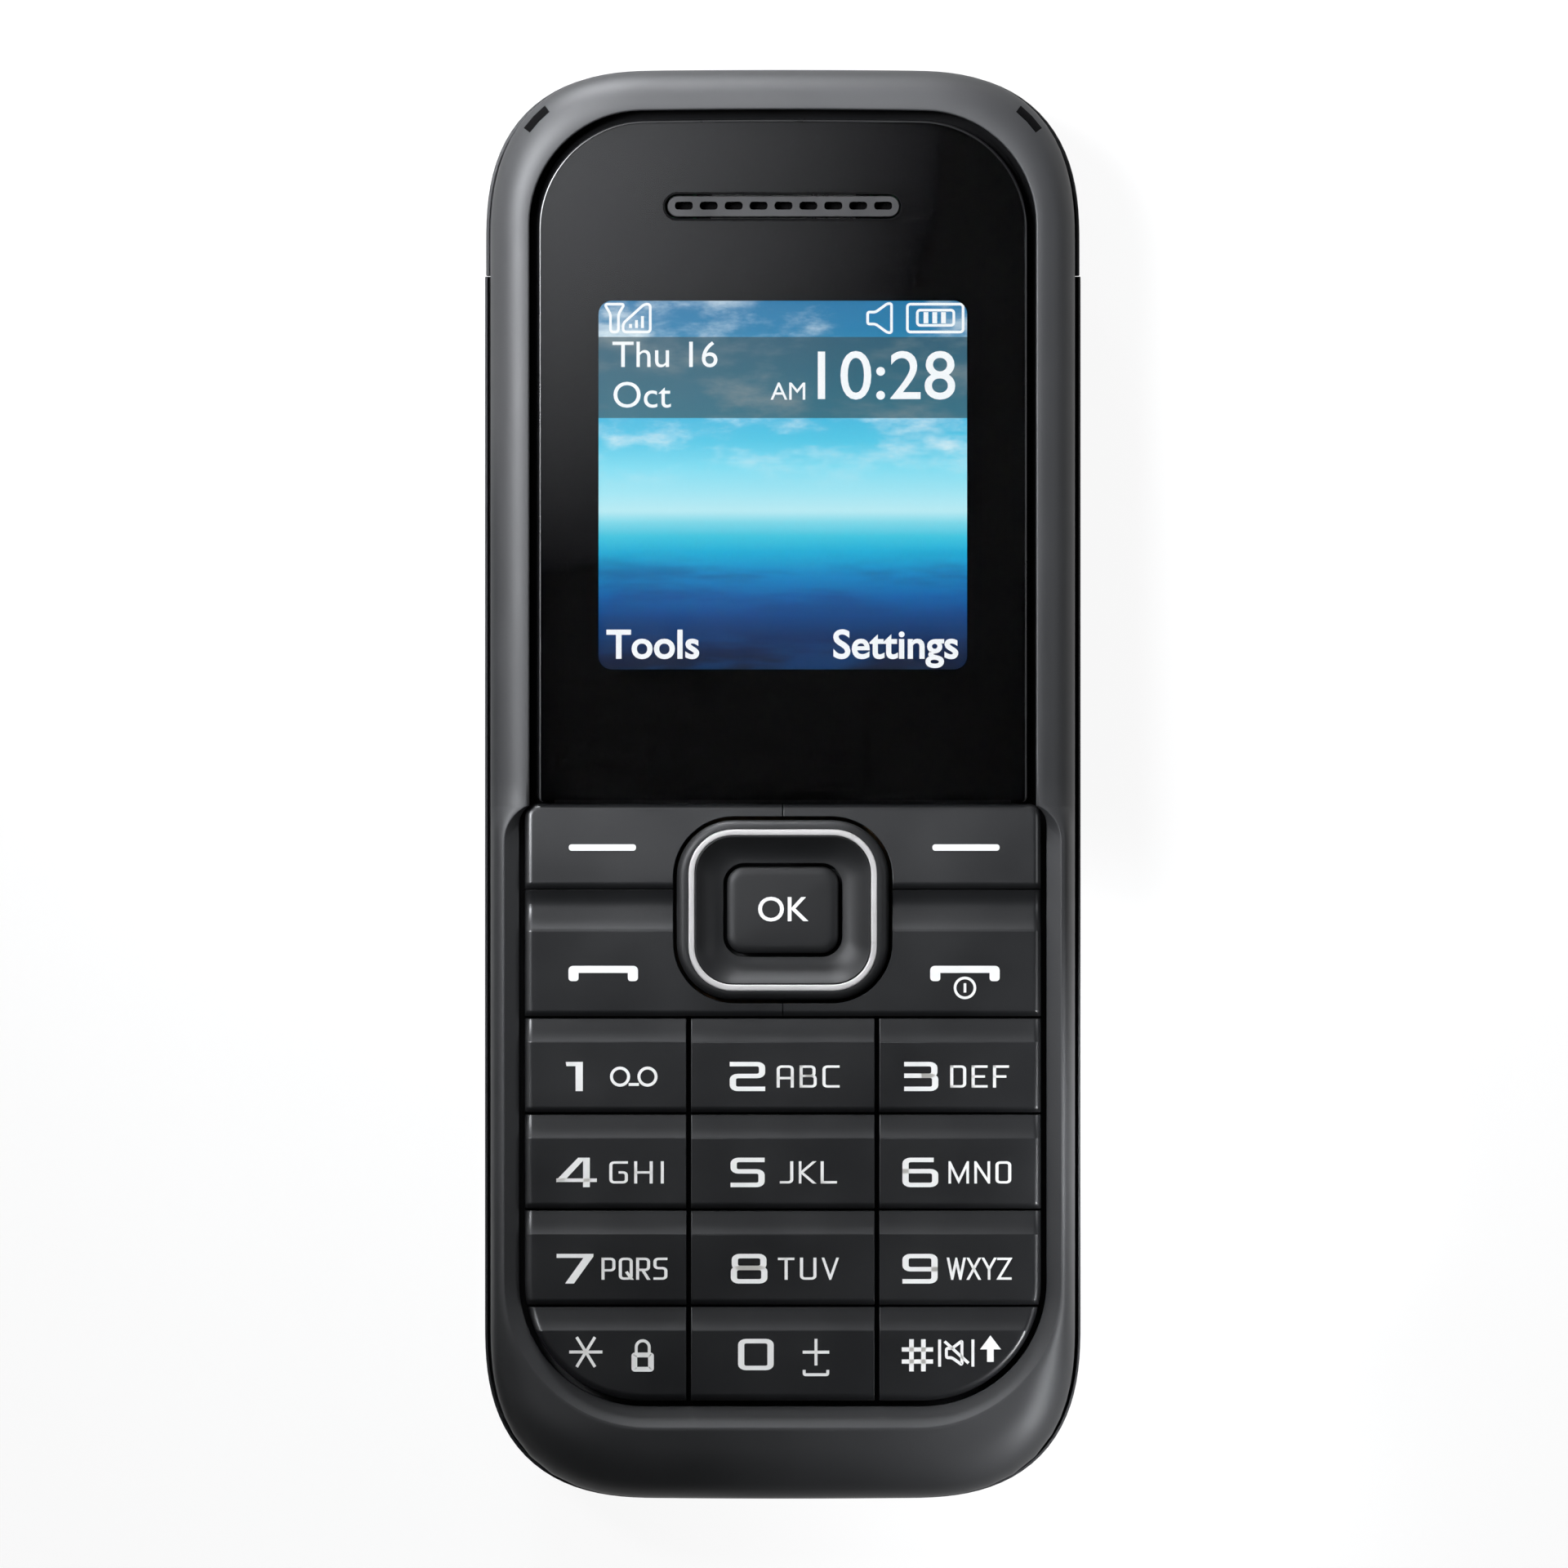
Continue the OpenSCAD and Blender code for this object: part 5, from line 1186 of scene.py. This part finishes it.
def dashMesh(x):
    points = [(x - 2.53, -5.03), (x + 2.53, -5.03), (x + 2.53, -4.55), (x - 2.53, -4.55)]
    return plateMesh(points, power["deep"], dashZ, [0.21] * 4)


def handsetMesh(x):
    points = [(x - 2.62, -14.86), (x - 1.86, -14.86), (x - 1.86, -14.24), (x + 1.86, -14.24),
              (x + 1.86, -14.86), (x + 2.62, -14.86), (x + 2.62, -13.71), (x - 2.62, -13.71)]
    corners = [0.26, 0.22, 0, 0, 0.22, 0.26, 0.34, 0.34]
    return plateMesh(points, power["deep"], power["z"], corners)


printPiece("print_soft_left", [dashMesh(-13.60)], "soft_key_left")
printPiece("print_soft_right", [dashMesh(13.81)], "soft_key_right")
printPiece("print_call", [handsetMesh(-13.54)], "call_key")
printPiece("print_end", [handsetMesh(13.73), strokeMesh([circlePath(13.73, -15.37, 0.75)], power),
                         strokeMesh([[(13.73, -15.72), (13.73, -15.02)]], power)], "end_key")
printPiece("print_ok", [wordMesh("OK", 2.62, 0.012, -0.03, -9.54, 13.155, "CENTER", 0.02)], "ok_key")
print("key prints made")


# words and signs on the lit display

screen = {"z": 11.312, "clock": "10:28", "day": "Thu 16", "month": "Oct", "half": "AM",
          "left": "Tools", "right": "Settings", "signLow": 34.1, "signHigh": 36.2}
screenLine = strokeLook(0.20, 1.0, 0.22, 0.012, 11.302)


def screenPiece(name, meshes):
    printPiece(name, meshes, "root", "litWhite")


def bar(x0, y0, x1, y1):
    return plateMesh([(x0, y0), (x1, y0), (x1, y1), (x0, y1)], screenLine["deep"], screenLine["z"])


def buildScreenWords():
    z = screen["z"]
    screenPiece("screen_clock", [wordMesh(screen["clock"], 5.2, 0.02, 13.15, 30.62, z, "RIGHT"),
                                 wordMesh(screen["half"], 1.9, 0, 0.45, 29.56, z, "CENTER"),
                                 wordMesh(screen["day"], 2.80, 0, -12.9, 32.30, z),
                                 wordMesh(screen["month"], 2.80, 0, -12.9, 29.25, z)])
    screenPiece("screen_labels", [wordMesh(screen["left"], 3.05, 0.06, -13.3, 10.42, z),
                                  wordMesh(screen["right"], 3.05, 0.06, 13.3, 10.42, z, "RIGHT")])


def buildScreenSigns():
    low, high = screen["signLow"], screen["signHigh"]
    funnel = [(-13.45, high), (-11.95, high), (-12.4, 35.45), (-12.4, low), (-13.0, low),
              (-13.0, 35.45), (-13.45, high)]
    wedge = [(-12.05, low), (-10.0, low), (-10.0, high), (-10.45, high), (-12.05, 34.75), (-12.05, low)]
    horn = [(6.4, 34.7), (7.0, 34.7), (7.9, 34.05), (8.2, 34.05), (8.2, 36.25), (7.9, 36.25),
            (7.0, 35.6), (6.4, 35.6), (6.4, 34.7)]
    box = [(9.4, low), (13.6, low), (13.6, high), (9.4, high), (9.4, low)]
    cell = [(10.15, 34.6), (12.9, 34.6), (12.9, 35.75), (10.15, 35.75), (10.15, 34.6)]
    meshes = [strokeMesh([line], screenLine) for line in (funnel, wedge, horn, box, cell)]
    for i in range(3):  # signal steps
        meshes.append(bar(-11.6 + 0.45 * i, low + 0.3, -11.38 + 0.45 * i, low + 0.6 + 0.3 * i))
    for i in range(3):  # battery bars
        meshes.append(bar(10.62 + 0.66 * i, 34.75, 10.98 + 0.66 * i, 35.6))
    screenPiece("screen_signs", meshes)


buildScreenWords()
buildScreenSigns()
print("display words made")


# back: a sliding cover and the fixed top above it, one rounded shell cut in two

shell = {"halfW": 22.5, "halfL": 54.0, "reach": 13.0, "profile": 0.587, "bow": 0.25, "bend": 6.0,
         "bendSteps": 14, "rim": 8.45, "shoulder": 0.22, "step": 8.0, "wall": 1.0, "split": 38.4,
         "gap": 0.1, "rail": {"in": 20.8, "out": 22.0, "half": 20, "low": 7.1, "high": 7.7}}


def shellRing(bm, inset, z):
    look = shell
    made = roundedRing(bm, (look["halfW"] - inset, look["halfL"] - inset), z, look["reach"] - inset,
                       (0, 0), 24, look["profile"])
    ends = [e for e in made if abs(e.verts[0].co.y - e.verts[1].co.y) < 1e-7 and e.calc_length() > 0.008]
    before = set(bm.edges) - set(made)
    bmesh.ops.subdivide_edges(bm, edges=ends, cuts=9)
    made = [edge for edge in bm.edges if edge not in before]
    halfW = (look["halfW"] - inset) * mm
    for vert in {v for e in made for v in e.verts}:
        drop = look["bow"] * mm * (vert.co.x / halfW) ** 2
        vert.co.y -= math.copysign(drop, vert.co.y)
    return made


def shellSkin(bm, inset, low):
    bend = shell["bend"] - inset
    steps = rolledEdge(bend, bend, shell["bendSteps"])
    return [shellRing(bm, inset + side, low + rise) for rise, side in steps]


def buildShell(inset, step):
    look = shell
    rim, shoulder = look["rim"], look["shoulder"]
    bm = bmesh.new()
    outer = shellSkin(bm, inset, inset)
    # softened rim, then a shadow line below the bezel
    for far, z in ((0, rim - 0.12), (0.04, rim - 0.04), (0.12, rim), (shoulder, rim), (shoulder, step)):
        outer.append(shellRing(bm, inset + far, z))
    inner = shellSkin(bm, look["wall"], look["wall"])
    inner.append(shellRing(bm, look["wall"], step))
    bridgeAll(bm, outer)
    bridgeAll(bm, inner)
    bridgePair(bm, outer[-1], inner[-1])
    capRing(bm, outer[0])
    capRing(bm, inner[0])
    faceOut(bm)
    return bm


def addBlock(bm, x0, x1, y0, y1, z0, z1):
    size = Matrix.Diagonal((x1 - x0, y1 - y0, z1 - z0, 1))
    middle = Matrix.Translation(((x0 + x1) / 2, (y0 + y1) / 2, (z0 + z1) / 2))
    bmesh.ops.create_cube(bm, size=1, matrix=Matrix.Scale(mm, 4) @ middle @ size)


def buildCover():
    look = shell
    bm = buildShell(0, look["step"])
    cutAway(bm, (0, look["split"] - look["gap"] / 2, 0), (0, 1, 0))
    faceOut(bm)
    rail = look["rail"]
    for x0, x1 in ((rail["in"], rail["out"]), (-rail["out"], -rail["in"])):
        addBlock(bm, x0, x1, -rail["half"], rail["half"], rail["low"], rail["high"])
    piece = finishPiece(bm, "back_cover", "shellSatin", "battery_cover",
                        ["battery_cover"], sharp=0)
    softenEdges(piece, 0.10, 3, 35)


ports = {"jack": (12.5, 54, 5.6, 2.62), "usb": (-3.87, 3.87, 51, 57, 5.56, 8.3), "speaker": (-10.5, 44.7),
         "slot": (3.09, 0.45), "slots": 4, "pitch": 1.7, "step": 8.34, "inset": 0.08}


def buildBackTop():
    look = ports
    bm = buildShell(look["inset"], look["step"])
    cutAway(bm, (0, shell["split"] + shell["gap"] / 2, 0), (0, -1, 0))
    faceOut(bm)
    cutter = bmesh.new()
    addBore(cutter, *look["jack"], 48)
    addBlock(cutter, *look["usb"])
    x, y = look["speaker"]
    for i in range(look["slots"]):
        spot = (x, y + (i - (look["slots"] - 1) / 2) * look["pitch"])
        closeEnds(cutter, [roundedRing(cutter, look["slot"], z, look["slot"][1] - sliver, spot, 8)
                           for z in (-1, 2)])
    faceOut(cutter)
    piece = finishPiece(drilled(bm, cutter), "back_top", "shellSatin", "root",
                        ["rear_housing"], sharp=0)
    softenEdges(piece, 0.08, 2, 35)


chassis = {"end": 39.3, "nested": 38.45, "narrow": 0.975, "level": 8.3, "flatten": 0.93}


def buildChassis():
    # tray, decks and bulkhead, seen once the cover is off
    look = chassis
    bm = bmesh.new()
    bm.from_mesh(cad["rear_housing"].data)
    bmesh.ops.remove_doubles(bm, verts=bm.verts, dist=1e-6)
    bmesh.ops.dissolve_limit(bm, angle_limit=math.radians(1.5), verts=bm.verts, edges=bm.edges)
    cutAway(bm, (0, look["end"], 0), (0, 1, 0), fill="triangles")
    for vert in bm.verts:  # its end lies inside the fixed top's wall
        if vert.co.y > look["nested"] * mm:
            vert.co.x *= look["narrow"]
            vert.co.z = look["level"] * mm - (look["level"] * mm - vert.co.z) * look["flatten"]
    faceOut(bm)
    finishPiece(bm, "back_chassis", "shellSatin", "root", sharp=30)


buildCover()
buildBackTop()
buildChassis()
print("back made")


# carried-over nodes take a finish by their material slot

slotFinish = {
    "frame_plastic": "bezelSatin", "shell_plastic": "shellSatin", "key_plastic": "keySatin",
    "bright_trim": "trimSilver", "lens_clear": "lensClear", "lens_print": "inkAndShadeBlack",
    "grille_black": "grilleBlack", "black_fabric": "earMesh", "display_glass": "displayPicture",
    "light_guide": "guideClear", "white_plastic": "whiteMoulded", "black_foam": "foamBlack",
    "silicone": "siliconeMat", "dome_film": "filmAmber", "board_green": "boardGreen",
    "chip_black": "chipBlack", "steel": "steelBrushed", "gold": "goldPlate", "battery_case": "batteryWrap"}

for part in frame["record"]["subparts"]:
    piece = cad[part["node"]]
    piece.data.materials.clear()
    piece.data.materials.append(finishes[slotFinish[part["material_slot"]]])
print("nodes dressed")


# floor, lamps, the dark card that the lens mirrors, and flags that only reflections see

studio = {"floor": 3.0, "floorDrop": 0.05, "floorGlow": 0.92, "world": 0.22,
          "coolWhite": (0.94, 0.96, 1.0),
          # name, place, aim, size, spread and power
          "lamps": (("left", (-0.13, 0.10, 0.22), (-0.004, 0.055, 0.013), 0.12, 40, 0.156),
                    ("back", (-0.075, 0.28, 0.055), (-0.026, 0.055, 0.012), 0.07, 26, 0.036),
                    ("top", (-0.05, 0.19, 0.16), (-0.005, 0.02, 0.013), 0.08, 180, 0.074),
                    ("right", (0.22, 0.03, 0.17), (0.01, 0.01, 0.013), 0.10, 180, 0.125),
                    ("lowerRight", (0.125, -0.070, 0.10), (0.038, -0.030, 0.012), 0.02, 10, 0.0092),
                    ("foot", (0.125, -0.100, 0.125), (0.030, -0.054, 0.012), 0.02, 16, 0.0056)),
          "card": 0.40, "cardHeight": 0.32, "cardSpot": (-0.026, 0.058), "cardReach": 0.040,
          "cardGlow": 1.3,
          # dark flags: middle, half length and way they face
          "flags": ((0.24, 0, 0.40, "X"), (-0.24, -0.22, 0.18, "X"), (0, -0.28, 0.24, "Y"),
                    (0.108, -0.010, 0.048, "Z"), (-0.085, -0.030, 0.055, "Z")),
          "flagFoot": 0.001, "flagLow": 0.0003}


def setUp(name, bm, finish):
    mesh = asMesh(bm, name)
    mesh.materials.append(finish)
    piece = bpy.data.objects.new(name, mesh)
    scene.collection.objects.link(piece)
    return piece


def sheetAt(size, z):
    bm = bmesh.new()
    bmesh.ops.create_grid(bm, x_segments=2, y_segments=2, size=size)
    bmesh.ops.translate(bm, verts=bm.verts, vec=(0, 0, z))
    return bm


def plainFinish(name):
    finish = bpy.data.materials.new(name)
    finish.use_nodes = True
    finish.node_tree.nodes.clear()
    return finish, finish.node_tree


def showOn(tree, surface):
    out = tree.nodes.new("ShaderNodeOutputMaterial")
    tree.links.new(surface, out.inputs["Surface"])


def seenRays(tree):  # camera, glossy and transmission rays see the pale background
    rays = tree.nodes.new("ShaderNodeLightPath").outputs
    seen = calc(tree, "MAXIMUM", rays["Is Camera Ray"], rays["Is Glossy Ray"])
    return calc(tree, "MAXIMUM", seen, rays["Is Transmission Ray"])


def buildFloor():
    finish, tree = plainFinish("floorWhite")
    paper = addNode(tree, "BsdfDiffuse", Color=(0.96, 0.96, 0.96, 1))
    glow = addNode(tree, "Emission", Strength=1.0)
    mix = tree.nodes.new("ShaderNodeMixShader")
    tree.links.new(calc(tree, "MULTIPLY", seenRays(tree), studio["floorGlow"]), mix.inputs[0])
    tree.links.new(paper.outputs["BSDF"], mix.inputs[1])
    tree.links.new(glow.outputs["Emission"], mix.inputs[2])
    showOn(tree, mix.outputs["Shader"])
    setUp("floor", sheetAt(studio["floor"], -studio["floorDrop"] * mm), finish)


def buildCard():
    finish, tree = plainFinish("cardFade")
    place = tree.nodes.new("ShaderNodeTexCoord").outputs["Object"]
    # black, with a soft glow over the phone's upper left corner
    zoom = 1 / studio["cardReach"]
    x, y = studio["cardSpot"]
    spot = stretched(tree, place, (zoom, zoom, 0), shift=(-x * zoom, -y * zoom, 0))
    ball = tree.nodes.new("ShaderNodeTexGradient")
    ball.gradient_type = "SPHERICAL"
    tree.links.new(spot, ball.inputs["Vector"])
    glow = addNode(tree, "Emission", Color=studio["coolWhite"] + (1,))
    fade = ranged(tree, ball.outputs["Fac"], 0.0, 1.0, 0.0, studio["cardGlow"])
    tree.links.new(fade, glow.inputs["Strength"])
    showOn(tree, glow.outputs["Emission"])
    card = setUp("card", sheetAt(studio["card"], studio["cardHeight"]), finish)
    card.visible_camera = False


def buildFlags():
    finish = bpy.data.materials.new("flagBlack")
    finish.use_nodes = True
    setInputs(finish.node_tree.nodes["Principled BSDF"],
              {"Base Color": (0.01, 0.01, 0.01, 1), "Specular IOR Level": 0})
    foot, high, low = studio["flagFoot"], studio["cardHeight"], studio["flagLow"]
    for x, y, half, way in studio["flags"]:
        ends = {"X": ((0, -half), (0, half)), "Y": ((-half, 0), (half, 0))}
        if way == "Z":
            spots = [(-half, -half, low), (half, -half, low), (half, half, low), (-half, half, low)]
        else:
            first, last = ends[way]
            spots = [(*first, foot), (*last, foot), (*last, high), (*first, high)]
        bm = bmesh.new()
        capRing(bm, addRing(bm, [((x + a) / mm, (y + b) / mm, c / mm) for a, b, c in spots]))
        flag = setUp("flag" + way, bm, finish)
        flag.visible_camera = False
        flag.visible_diffuse = False
        flag.visible_shadow = False
        flag.visible_transmission = False


def buildLamps():
    for name, place, aim, size, spread, watts in studio["lamps"]:
        data = bpy.data.lights.new(name, "AREA")
        data.shape = "DISK"
        data.size = size
        data.spread = math.radians(spread)
        data.energy = watts
        data.color = studio["coolWhite"]
        lamp = bpy.data.objects.new(name, data)
        lamp.location = place
        lamp.rotation_euler = (Vector(aim) - Vector(place)).to_track_quat("-Z", "Y").to_euler()
        lamp.visible_camera = False
        scene.collection.objects.link(lamp)


def buildWorld():
    world = bpy.data.worlds.new("studio")
    world.use_nodes = True
    tree = world.node_tree
    back = tree.nodes["Background"]
    back.inputs["Color"].default_value = (1, 1, 1, 1)
    level = ranged(tree, seenRays(tree), 0.0, 1.0, studio["world"], 1.0)
    tree.links.new(level, back.inputs["Strength"])
    scene.world = world


buildFloor()
buildCard()
buildFlags()
buildLamps()
buildWorld()
print("studio set")
